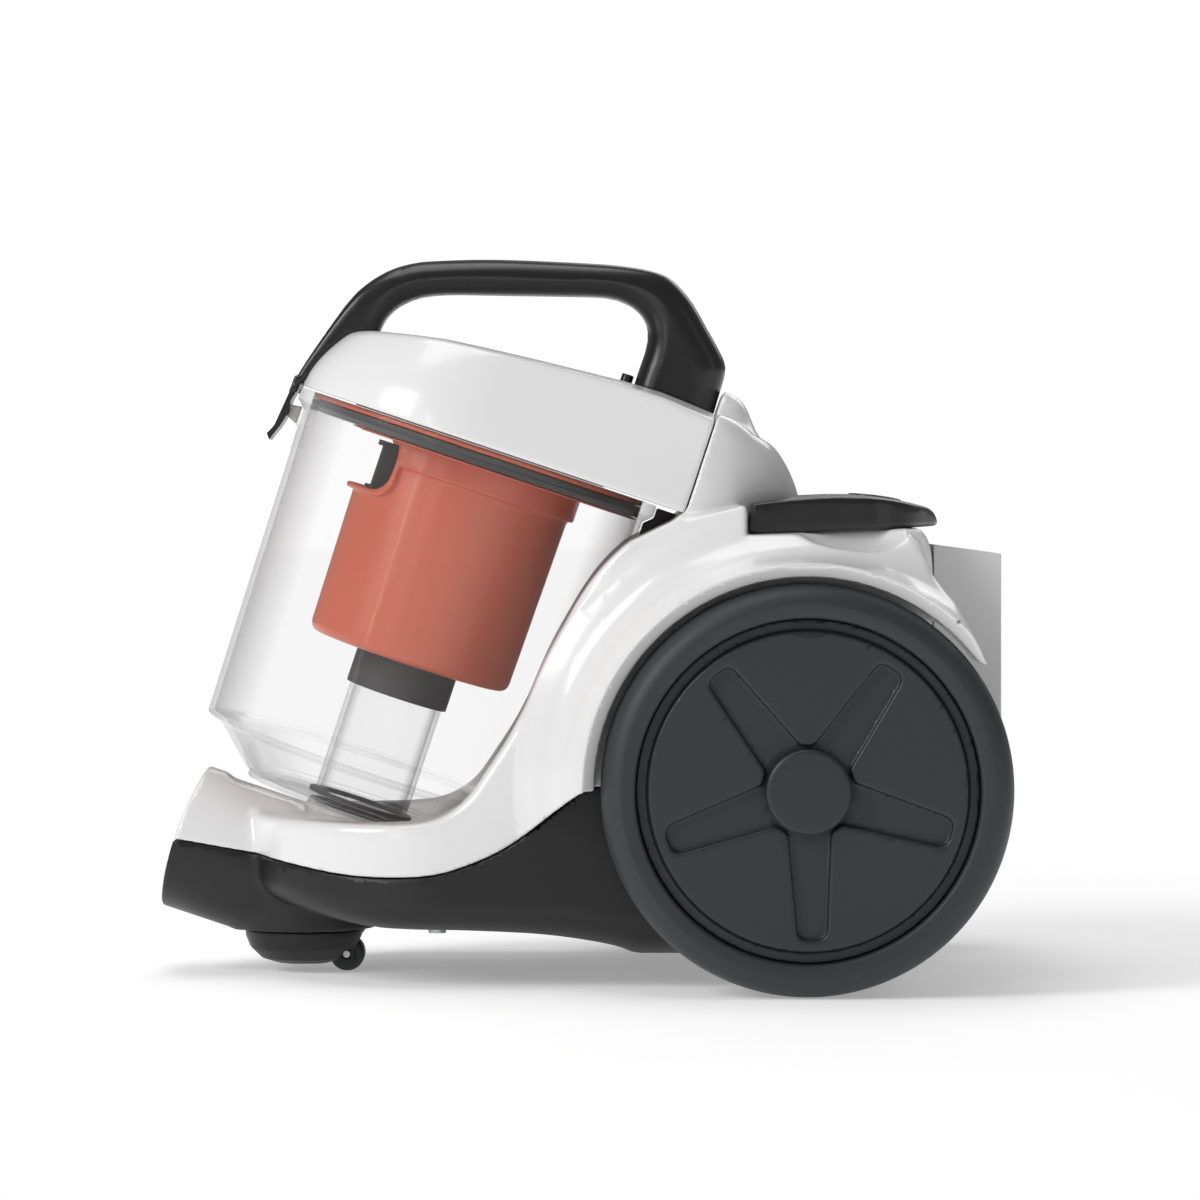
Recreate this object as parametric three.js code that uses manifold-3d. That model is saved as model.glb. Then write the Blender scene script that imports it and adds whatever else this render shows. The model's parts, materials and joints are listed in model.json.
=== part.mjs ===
// Bagless canister vacuum cleaner: a wheeled body that carries a tilted, lift-out dust cup.
// Millimetres, +Z up. The hose inlet faces -X, the exhaust +X, and the origin lies on the floor
// under the middle of the machine. Left and right are as seen by someone who stands behind it.
import * as THREE from 'three';
import { mergeVertices } from 'three/addons/utils/BufferGeometryUtils.js';
import Module from 'manifold-3d';

const wasm = await Module();
wasm.setup();

// ---------------------------------------------------------------- driving dimensions
const gap = 0.3; // air between pieces that rest on each other
const shellWall = 3; // casing walls

const wheelRadius = 90;
const wheelX = 101.2;
const wheelGap = 6; // between the casing's side and the tyre
const wheelWidth = 36;
const tyreDepth = 20; // from the disc's rim to the tread
const rimRadius = wheelRadius - tyreDepth;
const axleRadius = 6;
const fenderClearance = 2.8;
const fenderLip = 5.6;

// Dust cup, in its own frame: z up its axis, z = 0 at the joint with the lid
const cupTilt = THREE.MathUtils.degToRad(18.5);
const cupSeatX = -44.2;
const cupSeatZ = 241.2;
const cupRadius = 82;
const cupWall = 2.4;
const cupDraft = 2.2;
const cupWallDepth = 155;
const cupFootRadius = 54.3;
const cupDepth = 174.3;
const rimFlare = 4;
const cupClearance = 2.5; // between the cup and its recess in the body
const cupFacets = 30; // round pieces that nest in the cup share their facets

const shroudRadius = 49.2;
const shroudDepth = 104.5;
const shroudWall = 2.6;
const inletTubeRadius = 22;
const inletTubeWall = 2;
const sleeveRadius = 23.9;
const flangeDepth = 10.2;
const filterRadius = 60;
const filterHeight = 18;

const flapThickness = 2.3;
const flapHingeX = 58.3;
const flapPinRadius = 1.5;
const ductBossRadius = 23.4;

const lidBack = 97.5; // flat rear face of the lid, from the cup's axis
const lidWall = 2.6;
const handleWidth = 30;
const leverWidth = 22;
const leverPinRadius = 0.8;
const releaseButtonX = 54.4;
const releaseButtonRadius = 2.8;

const inletRadius = 33.5; // hose socket, outside
const inletMouth = 71.6; // from the cup's axis to the socket's mouth
const inletDrop = 212.9; // from the lid joint down to the socket's axis
const ductRadius = 17;
const ductWall = 2;

const bodyHalfWidth = cupRadius + 10;
const wheelInner = bodyHalfWidth + wheelGap; // |y| of the tyre's inner face
const bodyFront = -150;
const bodyRear = 160.3;
const bodyBottom = 14.2;
const seamZ = wheelRadius - gap; // the casings meet at the axles
const deckZ = 200;
const neckHalfWidth = cupRadius + rimFlare;
const neckDepth = 54;

const panelFront = 76;
const panelRear = 163.5;
const panelHalfWidth = 89.7;
const shoulderZ = 209.6; // top of the arms in front of the panel
const panelWall = 2.6;
const buttonX = 137;
const buttonY = 17;
const buttonLength = 23;
const buttonWidth = 26;
const buttonGap = 0.35;

const motorX = 72;
const motorY = -36;
const motorRadius = 38;
const motorHeight = 52;
const motorBase = 44.5;
const fanRadius = 43;
const fanHeight = 27;
const chamberRadius = 46.5;

const reelX = 94;
const reelZ = 106;
const reelRadius = 58;
const reelInner = 22; // y of the drum's inner flange
const reelWidth = 44;

const housingRear = 190.9;
const housingTop = 194;
const housingBottom = 100;
const housingHalfWidth = 56;
const coverThickness = 2.6;

const casterX = -124.5;
const casterDomeRadius = 27.5;
const casterTop = 19.5;
const casterWheelRadius = 8;
const casterWheelWidth = 14;
const casterTrail = 19.5;

// ---------------------------------------------------------------- finishes
const finish = (color, roughness, metalness = 0, extra = {}) =>
  new THREE.MeshStandardMaterial({ color, roughness, metalness, ...extra });
const white = finish('#eeeeee', 0.25);
const black = finish('#1e1e20', 0.45);
const graphite = finish('#303032', 0.3);
const rubber = finish('#38393b', 0.7);
const wheelGrey = finish('#303133', 0.5);
const coral = finish('#c86e5a', 0.4);
const sealGrey = finish('#555555', 0.8);
const clear = finish('#f4f6f6', 0.1, 0, { transparent: true, opacity: 0.3 });
const lightGrey = finish('#c9c9c9', 0.5);
const steel = finish('#b4b6b8', 0.35, 1);
const filterWhite = finish('#e6e3da', 0.95);
const boardGreen = finish('#2d5c3c', 0.6);

// ---------------------------------------------------------------- solids from three.js shapes
function solid(geometry) {
  const bare = geometry.clone();
  bare.deleteAttribute('normal');
  bare.deleteAttribute('uv');
  const merged = mergeVertices(bare, 1e-4);
  const point = merged.attributes.position.array;
  const corners = merged.index.array;
  const triangles = [];
  let volume = 0;
  for (let i = 0; i < corners.length; i += 3) {
    const [a, b, c] = corners.slice(i, i + 3);
    if (a === b || b === c || c === a) continue;
    triangles.push(a, b, c);
    const [p, q, r] = [a, b, c].map((k) => new THREE.Vector3().fromArray(point, 3 * k));
    volume += p.dot(q.cross(r));
  }
  if (volume < 0) triangles.reverse();
  return new wasm.Manifold(
    new wasm.Mesh({
      numProp: 3,
      vertProperties: new Float32Array(point),
      triVerts: new Uint32Array(triangles),
    }),
  );
}

function geometryOf(shape) {
  const mesh = shape.getMesh();
  const geometry = new THREE.BufferGeometry();
  geometry.setAttribute('position', new THREE.BufferAttribute(new Float32Array(mesh.vertProperties), 3));
  geometry.setIndex(new THREE.BufferAttribute(new Uint32Array(mesh.triVerts), 1));
  geometry.computeVertexNormals();
  return geometry;
}

const join = (...shapes) => shapes.reduce((sum, shape) => sum.add(shape));
const cut = (shape, ...tools) => tools.reduce((rest, tool) => rest.subtract(tool), shape);
const placed = (shape, matrix) => solid(geometryOf(shape).applyMatrix4(matrix));

// A profile of [radius, height] pairs turned about z, or about y for wheels. A ring's profile is a
// loop that this function closes.
function turned(profile, segments = 30, axis = 'z') {
  const points = profile.map(([radius, height]) => new THREE.Vector2(radius, height));
  const onAxis = profile[0][0] === 0 && profile.at(-1)[0] === 0;
  if (!onAxis) points.push(points[0].clone());
  const geometry = new THREE.LatheGeometry(points, segments);
  return solid(axis === 'z' ? geometry.rotateX(Math.PI / 2) : geometry);
}

function rod(radius, from, to, segments = 16) {
  const a = new THREE.Vector3(...from);
  const b = new THREE.Vector3(...to);
  const geometry = new THREE.CylinderGeometry(radius, radius, a.distanceTo(b), segments);
  const direction = b.clone().sub(a).normalize();
  geometry.applyQuaternion(new THREE.Quaternion().setFromUnitVectors(new THREE.Vector3(0, 1, 0), direction));
  return solid(geometry.translate(...a.add(b).multiplyScalar(0.5).toArray()));
}

function ring(inner, outer, low, high, segments = 24) {
  return turned([[inner, low], [outer, low], [outer, high], [inner, high]], segments);
}

function box(x0, x1, y0, y1, z0, z1) {
  const geometry = new THREE.BoxGeometry(x1 - x0, y1 - y0, z1 - z0);
  return solid(geometry.translate((x0 + x1) / 2, (y0 + y1) / 2, (z0 + z1) / 2));
}

const shapeOf = (points) => new THREE.Shape(points.map(([x, y]) => new THREE.Vector2(x, y)));
const vectors = (points) => points.map(([x, y]) => new THREE.Vector2(x, y));

// A side outline, drawn in x and z, made a solid between two values of y
function side(outline, y0, y1, curveSegments = 8) {
  const shape = Array.isArray(outline) ? shapeOf(outline) : outline;
  const geometry = new THREE.ExtrudeGeometry(shape, { depth: y1 - y0, bevelEnabled: false, curveSegments });
  return solid(geometry.rotateX(Math.PI / 2).translate(0, y1, 0));
}

// A plan outline, drawn in x and y, made a solid between two heights
function plan(outline, z0, z1, curveSegments = 8) {
  const shape = Array.isArray(outline) ? shapeOf(outline) : outline;
  const geometry = new THREE.ExtrudeGeometry(shape, { depth: z1 - z0, bevelEnabled: false, curveSegments });
  return solid(geometry.translate(0, 0, z0));
}

function roundedRectangle(x0, x1, y0, y1, radius) {
  const shape = new THREE.Shape();
  shape.moveTo(x0 + radius, y0);
  shape.lineTo(x1 - radius, y0);
  shape.absarc(x1 - radius, y0 + radius, radius, -Math.PI / 2, 0);
  shape.absarc(x1 - radius, y1 - radius, radius, 0, Math.PI / 2);
  shape.absarc(x0 + radius, y1 - radius, radius, Math.PI / 2, Math.PI);
  shape.absarc(x0 + radius, y0 + radius, radius, Math.PI, 1.5 * Math.PI);
  return shape;
}

// Moves every corner of a closed outline inwards by a distance
function inset(points, distance) {
  const turnsLeft = THREE.ShapeUtils.area(vectors(points)) > 0 ? 1 : -1;
  const count = points.length;
  const moved = points.map(([x, y], i) => {
    const before = points[(i + count - 1) % count];
    const after = points[(i + 1) % count];
    const first = new THREE.Vector2(x - before[0], y - before[1]).normalize();
    const second = new THREE.Vector2(after[0] - x, after[1] - y).normalize();
    const normal = new THREE.Vector2(-(first.y + second.y), first.x + second.x).normalize();
    const spread = Math.max(0.4, normal.dot(new THREE.Vector2(-first.y, first.x)));
    const step = (turnsLeft * distance) / spread;
    return [x + normal.x * step, y + normal.y * step];
  });
  const shortest = 0.2;
  return moved.filter(([x, y], i) => Math.hypot(x - moved.at(i - 1)[0], y - moved.at(i - 1)[1]) > shortest);
}

// Skins a stack of rings that have equal numbers of points, and closes both ends
function lofted(rings) {
  const count = rings[0].length;
  const positions = rings.flat().flatMap((point) => point.toArray());
  const faces = [];
  for (let level = 0; level < rings.length - 1; level += 1) {
    for (let i = 0; i < count; i += 1) {
      const a = level * count + i;
      const b = level * count + ((i + 1) % count);
      faces.push(a, b, b + count, a, b + count, a + count);
    }
  }
  for (const level of [0, rings.length - 1]) {
    const middle = rings[level].reduce((sum, p) => sum.add(p), new THREE.Vector3()).divideScalar(count);
    const hub = positions.push(...middle.toArray()) / 3 - 1;
    for (let i = 0; i < count; i += 1) {
      const a = level * count + i;
      const b = level * count + ((i + 1) % count);
      faces.push(...(level === 0 ? [hub, b, a] : [hub, a, b]));
    }
  }
  const geometry = new THREE.BufferGeometry();
  geometry.setAttribute('position', new THREE.Float32BufferAttribute(positions, 3));
  geometry.setIndex(faces);
  return solid(geometry);
}

// Keeps the largest solid and drops the slivers that grazing cuts leave
const largest = (shape) => shape.decompose().reduce((best,
  next) => (next.volume() > best.volume() ? next : best));

const mirrored = (shape) => placed(shape, new THREE.Matrix4().makeScale(1, -1, 1));

// ---------------------------------------------------------------- frames
const model = new THREE.Group();
const cupFrame = new THREE.Group();
cupFrame.position.set(cupSeatX, 0, cupSeatZ);
cupFrame.rotation.y = cupTilt;
cupFrame.updateMatrix();
model.add(cupFrame);

const fromCup = (shape) => placed(shape, cupFrame.matrix);

// A point of the cup's frame, given by its x and z, as [x, z] of the machine
function cupPoint(x, z) {
  const point = new THREE.Vector3(x, 0, z).applyMatrix4(cupFrame.matrix);
  return [point.x, point.z];
}

function add(frame, name, shape, material) {
  const mesh = new THREE.Mesh(geometryOf(shape), material);
  mesh.name = name;
  frame.add(mesh);
}

// ---------------------------------------------------------------- dust cup
const catchBossFace = cupRadius + 0.9;
const hookHalfWidth = 5.5;
const flangeRadius = cupRadius - cupWall - gap;
const flapTop = -cupDepth - 0.4;
const flapBottom = flapTop - flapThickness;
const flapHingeZ = flapTop - 1.2;
const lugWidth = 3;
const knuckleHalfWidth = 7.7;

function hingeEar(halfHeight) {
  const ear = new THREE.Shape();
  ear.moveTo(flapHingeX + halfHeight, flapHingeZ);
  ear.absarc(flapHingeX, flapHingeZ, halfHeight, 0, -Math.PI, true);
  ear.lineTo(flapHingeX - halfHeight, -cupDepth + 6);
  ear.lineTo(flapHingeX + halfHeight, -cupDepth + 6);
  return ear;
}

function dustCup() {
  const bottomRadius = cupRadius - cupDraft;
  const shell = turned([
    [cupRadius + rimFlare, -0.7],
    [cupRadius + rimFlare, -6.2],
    [cupRadius, -9.8],
    [bottomRadius, -cupWallDepth],
    [bottomRadius - 7.3, -cupWallDepth - 2.5],
    [cupFootRadius, -cupDepth],
    [cupFootRadius - 3.7, -cupDepth],
    [cupFootRadius - 3.7, -cupDepth + 2.1],
    [cupFootRadius - 0.9, -cupDepth + 2.1],
    [bottomRadius - 8.6, -cupWallDepth - 0.2],
    [bottomRadius - cupWall, -cupWallDepth + 1.6],
    [cupRadius - cupWall, -0.7],
  ], cupFacets);
  const catchBoss = box(-catchBossFace, -cupRadius + 1.2, -7, 7, -18, -10);
  const bossRib = box(-cupRadius - 0.9, -cupRadius + 1.4, -1, 1, -30, -17);
  const pinHole = rod(flapPinRadius + gap, [flapHingeX, -20, flapHingeZ], [flapHingeX, 20, flapHingeZ], 16);
  const lugStart = knuckleHalfWidth + gap;
  const lug = side(hingeEar(2.7), lugStart, lugStart + lugWidth);
  const hookWay = box(-cupRadius - rimFlare - 1, -catchBossFace, -hookHalfWidth - 0.4,
    hookHalfWidth + 0.4, -9.9, 0);
  return cut(join(shell, catchBoss, bossRib, lug, mirrored(lug)), pinHole, hookWay);
}

// Coral body of the cyclone: flange on the cup's rim, collar, and the smooth cup-shaped shroud
const windowLow = -34.5;
const windowHigh = -11;
function cycloneShroud() {
  const low = shroudRadius - 1.4;
  const inner = shroudRadius - shroudWall;
  const body = turned([
    [inner, -0.8],
    [flangeRadius, -0.8],
    [flangeRadius, -3.4],
    [flangeRadius - 3.3, -3.4],
    [flangeRadius - 3.3, -9.1],
    [flangeRadius - gap, -9.1],
    [flangeRadius - gap, -flangeDepth],
    [flangeRadius - 5.3, -flangeDepth],
    [flangeRadius - 5.3, -3.4],
    [shroudRadius + 2.8, -3.4],
    [shroudRadius + 2.8, -20.7],
    [shroudRadius, -20.7],
    [low, -shroudDepth + 4],
    [low - 0.9, -shroudDepth + 1],
    [low - 3.3, -shroudDepth],
    [inletTubeRadius + gap, -shroudDepth],
    [inletTubeRadius + gap, -shroudDepth + 2.2],
    [low - 3.6, -shroudDepth + 2.2],
    [low - shroudWall, -shroudDepth + 5],
  ], cupFacets);
  const reach = shroudRadius + 6;
  const windowAt = (degrees) => {
    const angle = THREE.MathUtils.degToRad(degrees);
    return [-reach * Math.sin(angle), -reach * Math.cos(angle)];
  };
  const opening = plan([[0, 0], windowAt(39), windowAt(85), windowAt(131)], windowLow, windowHigh);
  return cut(body, opening);
}

// Bend that turns the rising dirty air out through the shroud's window
const elbowFloor = -40;
function cycloneElbow() {
  const limit = rod(shroudRadius - shroudWall - 2, [0, 0, -60], [0, 0, 0], 20);
  const outer = join(
    rod(inletTubeRadius + 1.6, [0, 0, elbowFloor], [0, 0, -12], 32),
    box(-60, 0, -18, 18, windowLow - 1, -12),
  ).intersect(limit);
  const bore = join(
    rod(inletTubeRadius - inletTubeWall, [0, 0, elbowFloor - 1], [0, 0, -14.4], 32),
    box(-61, 0, -15.6, 15.6, windowLow + 1.4, -14.4),
  );
  return cut(outer, bore);
}

function inletTube() {
  return ring(inletTubeRadius - inletTubeWall, inletTubeRadius, -cupDepth + 2.3, elbowFloor - gap, 20);
}

function bottomFlap() {
  const disc = rod(cupFootRadius - 1, [0, 0, flapBottom], [0, 0, flapTop], 20);
  const ductHole = rod(inletTubeRadius - inletTubeWall, [0, 0, flapBottom - 1], [0, 0, flapTop + 1], 20);
  const arm = box(cupFootRadius - 6, flapHingeX, -knuckleHalfWidth, knuckleHalfWidth, flapBottom, flapTop);
  const knuckle = rod(2.7, [flapHingeX, -knuckleHalfWidth, flapHingeZ],
    [flapHingeX, knuckleHalfWidth, flapHingeZ], 16);
  const pinHole = rod(flapPinRadius + gap, [flapHingeX, -20, flapHingeZ], [flapHingeX, 20, flapHingeZ], 16);
  return cut(join(disc, arm, knuckle), ductHole, pinHole);
}

function flapSeal() {
  return ring(inletTubeRadius - 1.6, inletTubeRadius + 2.5, flapTop + gap, flapTop + 2.2, 20);
}

function flapPin() {
  const reach = knuckleHalfWidth + gap + lugWidth;
  return rod(flapPinRadius, [flapHingeX, -reach, flapHingeZ], [flapHingeX, reach, flapHingeZ], 16);
}

// Hook block on the back of the cup, with its ramp towards the neck
function rearCatch() {
  return side([
    [cupRadius + 0.5, -10.2],
    [cupRadius + rimFlare + 0.5, -6.6],
    [cupRadius + rimFlare + 0.5, -1.6],
    [cupRadius + 13.5, -1.6],
    [cupRadius + 8, -17],
    [cupRadius + 0.5, -19],
  ], -16, 16);
}

// ---------------------------------------------------------------- lid and handle
// Plan of the lid: a round front that runs straight back to a flat rear face. Each level is drawn in
// by one distance at the front and another at the back, and may slope.
function lidRing(level, wall) {
  const radius = cupRadius + rimFlare;
  const arcSteps = 20;
  const plan = [];
  for (let i = 0; i <= arcSteps; i += 1) {
    const angle = Math.PI / 2 + (Math.PI * i) / arcSteps;
    plan.push([radius * Math.cos(angle), radius * Math.sin(angle), Math.cos(angle), Math.sin(angle)]);
  }
  const back = lidBack - wall;
  const sideSteps = [0.33, 0.67, 1];
  for (const share of sideSteps) plan.push([back * share, -radius, 0, -1]);
  for (const share of [...sideSteps].reverse()) plan.push([back * share, radius, 0, 1]);
  const foot = level.frontZ === 0;
  const lower = foot ? 1 : wall;
  return plan.map(([x, y, nx, ny]) => {
    const share = (x + radius) / (radius + back);
    const inward = THREE.MathUtils.lerp(level.front, level.rear, share) + wall;
    const height = THREE.MathUtils.lerp(level.frontZ, level.rearZ, share);
    return new THREE.Vector3(x - nx * inward, y - ny * inward, height - (wall === 0 ? 0 : lower));
  });
}

const lidLevels = [
  { front: 0, rear: 0, frontZ: 0, rearZ: 0 },
  { front: 3, rear: 1.5, frontZ: 9.8, rearZ: 14 },
  { front: 14.8, rear: 6, frontZ: 31.1, rearZ: 41 },
  { front: 24.5, rear: 12, frontZ: 34.6, rearZ: 46.4 },
  { front: 57, rear: 36, frontZ: 40.4, rearZ: 49 },
];
const lidSolid = (wall) => lofted(lidLevels.map((level) => lidRing(level, wall)));

const pawlZ = 22;
function lidShell() {
  const buttonHole = rod(releaseButtonRadius + gap, [releaseButtonX, 0, 30], [releaseButtonX, 0, 60], 16);
  const airPort = join(
    box(lidBack - 6, lidBack + 4, -44, -12, 12, 32),
    box(lidBack - 6, lidBack + 4, 12, 44, 12, 32),
  );
  const pawlSlot = box(lidBack - 6, lidBack + 4, -5.6, 5.6, pawlZ - 3.4, pawlZ + 3.4);
  return cut(lidSolid(0), lidSolid(lidWall), buttonHole, airPort, pawlSlot);
}

const leverPivot = [-127.9, 269.4];
function handleBow() {
  const bow = new THREE.Shape();
  bow.moveTo(-128.6, 271);
  bow.lineTo(-104.6, 306.1);
  bow.bezierCurveTo(-95, 318.5, -86, 325, -62.5, 325.8);
  bow.lineTo(-35, 326.3);
  bow.lineTo(20, 323.9);
  bow.bezierCurveTo(36, 323, 45, 317.5, 52.6, 307.5);
  bow.lineTo(66.2, 284);
  bow.quadraticCurveTo(69.6, 277.5, 68, 271);
  bow.lineTo(...cupPoint(lidBack - 0.1, 47.5));
  bow.lineTo(...cupPoint(lidBack - 0.1, 38));
  bow.lineTo(...cupPoint(59.5, 40));
  bow.lineTo(26.9, 269.3);
  bow.lineTo(32, 285);
  bow.bezierCurveTo(36, 298, 28, 308.6, 13.9, 308.9);
  bow.lineTo(-35, 309.9);
  bow.lineTo(-64, 310.1);
  bow.quadraticCurveTo(-84, 308, -90.6, 293.2);
  bow.lineTo(...cupPoint(-52, 20));
  bow.lineTo(...cupPoint(-74, 8));
  bow.lineTo(...cupPoint(-80, 1));
  bow.lineTo(-124.6, 271);
  const half = handleWidth / 2;
  const lidRoom = lidSolid(-gap);
  const forkSlot = box(leverPivot[0] - 12, leverPivot[0] + 1.5, -leverWidth / 2 - gap, leverWidth / 2 + gap,
    leverPivot[1] - 20, leverPivot[1] + 4.2);
  const cheek = side([[-131.4, 265.2], [-127.8, 273], [-124.9, 271.4], [-128.6, 265.2]],
    leverWidth / 2 + gap, half);
  const pinHole = rod(leverPinRadius + gap, [leverPivot[0], -20, leverPivot[1]],
    [leverPivot[0], 20, leverPivot[1]], 12);
  return cut(join(side(bow, -half, half, 10), cheek, mirrored(cheek)), fromCup(lidRoom), forkSlot, pinHole);
}

function latchLever() {
  const blade = new THREE.Shape();
  blade.moveTo(-130.2, 267.6);
  blade.lineTo(-132.9, 261.9);
  blade.quadraticCurveTo(-136, 255, -137.8, 250.9);
  blade.quadraticCurveTo(-139, 249, -141.6, 246.6);
  blade.lineTo(-140.4, 243.7);
  blade.lineTo(-137.9, 247);
  blade.quadraticCurveTo(-134, 251.5, -131.9, 256);
  blade.lineTo(-130.5, 261.5);
  blade.lineTo(-128.2, 265.8);
  const half = leverWidth / 2;
  const [x, z] = leverPivot;
  const knuckle = rod(1.8, [x, -half, z], [x, half, z], 12);
  const neckOfBlade = side([[x - 2, z - 0.6], [-131.4, 264], [-129.2, 263.6], [x + 1, z - 1.6]], -half,
    half);
  const pinHole = rod(leverPinRadius + gap, [x, -20, z], [x, 20, z], 12);
  return cut(join(side(blade, -half, half, 6), neckOfBlade, knuckle), pinHole);
}

// Pale wedge behind the lever that bears on the cup's catch boss
function latchHook() {
  const face = -catchBossFace - gap;
  return side([[face - 4.2, -9.8], [face, -9.2], [face, -17.6], [face - 4.2, -15.6]], -hookHalfWidth,
    hookHalfWidth);
}

function leverPin() {
  const reach = handleWidth / 2 - 0.4;
  return rod(leverPinRadius, [leverPivot[0], -reach, leverPivot[1]],
    [leverPivot[0], reach, leverPivot[1]], 12);
}

function releaseButton() {
  const cap = rod(releaseButtonRadius, [releaseButtonX, 0, 36], [releaseButtonX, 0, 52.4], 16);
  const collar = rod(releaseButtonRadius + 2, [releaseButtonX, 0, 33], [releaseButtonX, 0, 36.4], 16);
  const stem = rod(1.6, [releaseButtonX, 0, 24], [releaseButtonX, 0, 36], 12);
  return join(cap, collar, stem);
}

function releasePawl() {
  const nose = box(lidBack - 9, lidBack + 1.8, -5, 5, pawlZ - 2.8, pawlZ + 2.8);
  const bar = box(releaseButtonX + 8, lidBack - 8, -2.5, 2.5, pawlZ - 2, pawlZ + 2);
  return join(nose, bar);
}

// ---------------------------------------------------------------- body shells
// Whole side view of the body, casing and chassis together: deck, front edge of the arms, rim of the
// tray below the cup, nose, and underside
function bodyOutline() {
  const shape = new THREE.Shape();
  shape.moveTo(bodyRear, 40);
  shape.lineTo(bodyRear, 184);
  shape.quadraticCurveTo(bodyRear - 1, 200, 152, deckZ + 3.6);
  shape.lineTo(82, deckZ);
  shape.lineTo(panelFront - gap, deckZ - 0.2);
  shape.lineTo(panelFront - gap, shoulderZ);
  shape.quadraticCurveTo(62, shoulderZ + 1.2, ...cupPoint(lidBack + 2 * gap, -1.9));
  shape.lineTo(46.3, 208.6);
  shape.splineThru(vectors([[30.3, 200.6], [11.3, 185.8], [-5.3, 159.8], [-21, 127], [-35, 103],
    [-50, 81.4], [-68, 73.2]]));
  shape.lineTo(-97.5, 72.6);
  shape.lineTo(bodyFront + 5, 74.2);
  shape.quadraticCurveTo(bodyFront, 74, bodyFront, 70);
  shape.lineTo(bodyFront, 44);
  shape.quadraticCurveTo(bodyFront, 38.5, -136.9, 35.2);
  shape.lineTo(-113.3, 30);
  shape.splineThru(vectors([[-88, 25.4], [-48, 24.7], [-13.4, 22.8], [14.4, 18.5], [26.9, bodyBottom]]));
  shape.lineTo(132, bodyBottom);
  shape.quadraticCurveTo(bodyRear - 2, bodyBottom, bodyRear, 40);
  return shape.getPoints(3).slice(0, -1).map((point) => [point.x, point.y]);
}

// Everything above the joint between the white casing and the black chassis, lowered by a distance
function aboveSeam(drop) {
  const shape = new THREE.Shape();
  const seam = [[-179.5, 62.2], [-150, 57], [-129, 53.7], [-97.5, 49.7], [-67, 50.1], [-47.9, 54.9],
    [-28.7, 64], [-9.3, 78.9], [4, seamZ]];
  shape.moveTo(-240, 82 - drop);
  shape.splineThru(vectors(seam.map(([x, z]) => [x, z - drop])));
  shape.lineTo(300, seamZ - drop);
  shape.lineTo(300, 500);
  shape.lineTo(-240, 500);
  return side(shape, -200, 200, 3);
}

// Plan shared by both shells: straight sides and a round nose
function bodyPlan(wall) {
  const half = bodyHalfWidth - wall;
  const centre = bodyFront + bodyHalfWidth;
  const shape = new THREE.Shape();
  shape.moveTo(bodyRear + 1, -half);
  shape.lineTo(bodyRear + 1, half);
  shape.lineTo(centre, half);
  shape.absarc(centre, 0, half, Math.PI / 2, 1.5 * Math.PI);
  return plan(shape, -10, 320, 10);
}

// Cross-section of the body, seen from behind: the underside's edges are rounded
function bodySection(wall) {
  const half = bodyHalfWidth - wall;
  const shape = new THREE.Shape();
  shape.moveTo(half, 320);
  shape.lineTo(-half, 320);
  shape.lineTo(-half, 40);
  shape.quadraticCurveTo(-half, bodyBottom + wall, -half + 16, bodyBottom + wall - 2);
  shape.lineTo(half - 16, bodyBottom + wall - 2);
  shape.quadraticCurveTo(half, bodyBottom + wall, half, 40);
  const geometry = new THREE.ExtrudeGeometry(shape, { depth: 400, bevelEnabled: false, curveSegments: 4 });
  const turn = new THREE.Matrix4().makeBasis(
    new THREE.Vector3(0, 1, 0), new THREE.Vector3(0, 0, 1), new THREE.Vector3(1, 0, 0));
  return solid(geometry.applyMatrix4(turn).translate(-200, 0, 0));
}

function bodyCore(wall) {
  const outline = wall > 0 ? inset(bodyOutline(), wall) : bodyOutline();
  return side(outline, -bodyHalfWidth + wall, bodyHalfWidth - wall)
    .intersect(bodyPlan(wall)).intersect(bodySection(wall));
}

// Room for the cup and its lugs, in the body
const recessFloor = -cupDepth - 6.7;
function cupRecess(grow) {
  const clear = cupClearance + grow;
  const tool = turned([
    [0, recessFloor - grow],
    [cupFootRadius + 3.4 + grow, recessFloor - grow],
    [cupRadius - 9.5 + clear, -cupWallDepth - 4 - grow],
    [cupRadius + clear, -cupWallDepth - grow],
    [cupRadius + clear, -30],
    [cupRadius + rimFlare + clear, -24],
    [cupRadius + rimFlare + clear, 90],
    [0, 90],
  ], cupFacets);
  const lugRoom = box(40, flapHingeX + 6 + grow, -14 - grow, 14 + grow, recessFloor - grow, -100);
  const catchRoom = box(40, cupRadius + 15 + grow, -17 - grow, 17 + grow, -21 - grow, 60);
  return fromCup(join(tool, lugRoom, catchRoom));
}

function neckOutline() {
  const shape = new THREE.Shape();
  shape.moveTo(...cupPoint(lidBack + 2 * gap, -20));
  shape.lineTo(...cupPoint(lidBack + 2 * gap, 46.5));
  shape.quadraticCurveTo(72, 252.5, 80, 245.6);
  shape.bezierCurveTo(94, 240, 97, 226, 103.7, 219.2);
  shape.lineTo(110, 192);
  return shape.getPoints(4).map((point) => [point.x, point.y]);
}

function neckPlan(wall) {
  const shape = new THREE.Shape();
  const halfWidth = neckHalfWidth - wall;
  shape.moveTo(20, -halfWidth);
  shape.lineTo(50, -halfWidth);
  shape.absellipse(50, 0, neckDepth - wall, halfWidth, -Math.PI / 2, Math.PI / 2);
  shape.lineTo(20, halfWidth);
  return plan(shape, 150, 300, 12);
}

// Narrow bump behind the handle's rear leg
const bumpOutline = [
  cupPoint(lidBack + 2 * gap, 30),
  cupPoint(lidBack + 2 * gap, 58.6),
  [75.9, 260.8],
  [79.7, 253.6],
  [82.3, 244.8],
  [82, 232],
];

function neck() {
  const shoulder = side(neckOutline(), -120, 120).intersect(neckPlan(0));
  return join(shoulder, side(bumpOutline, -30, 30));
}

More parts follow.
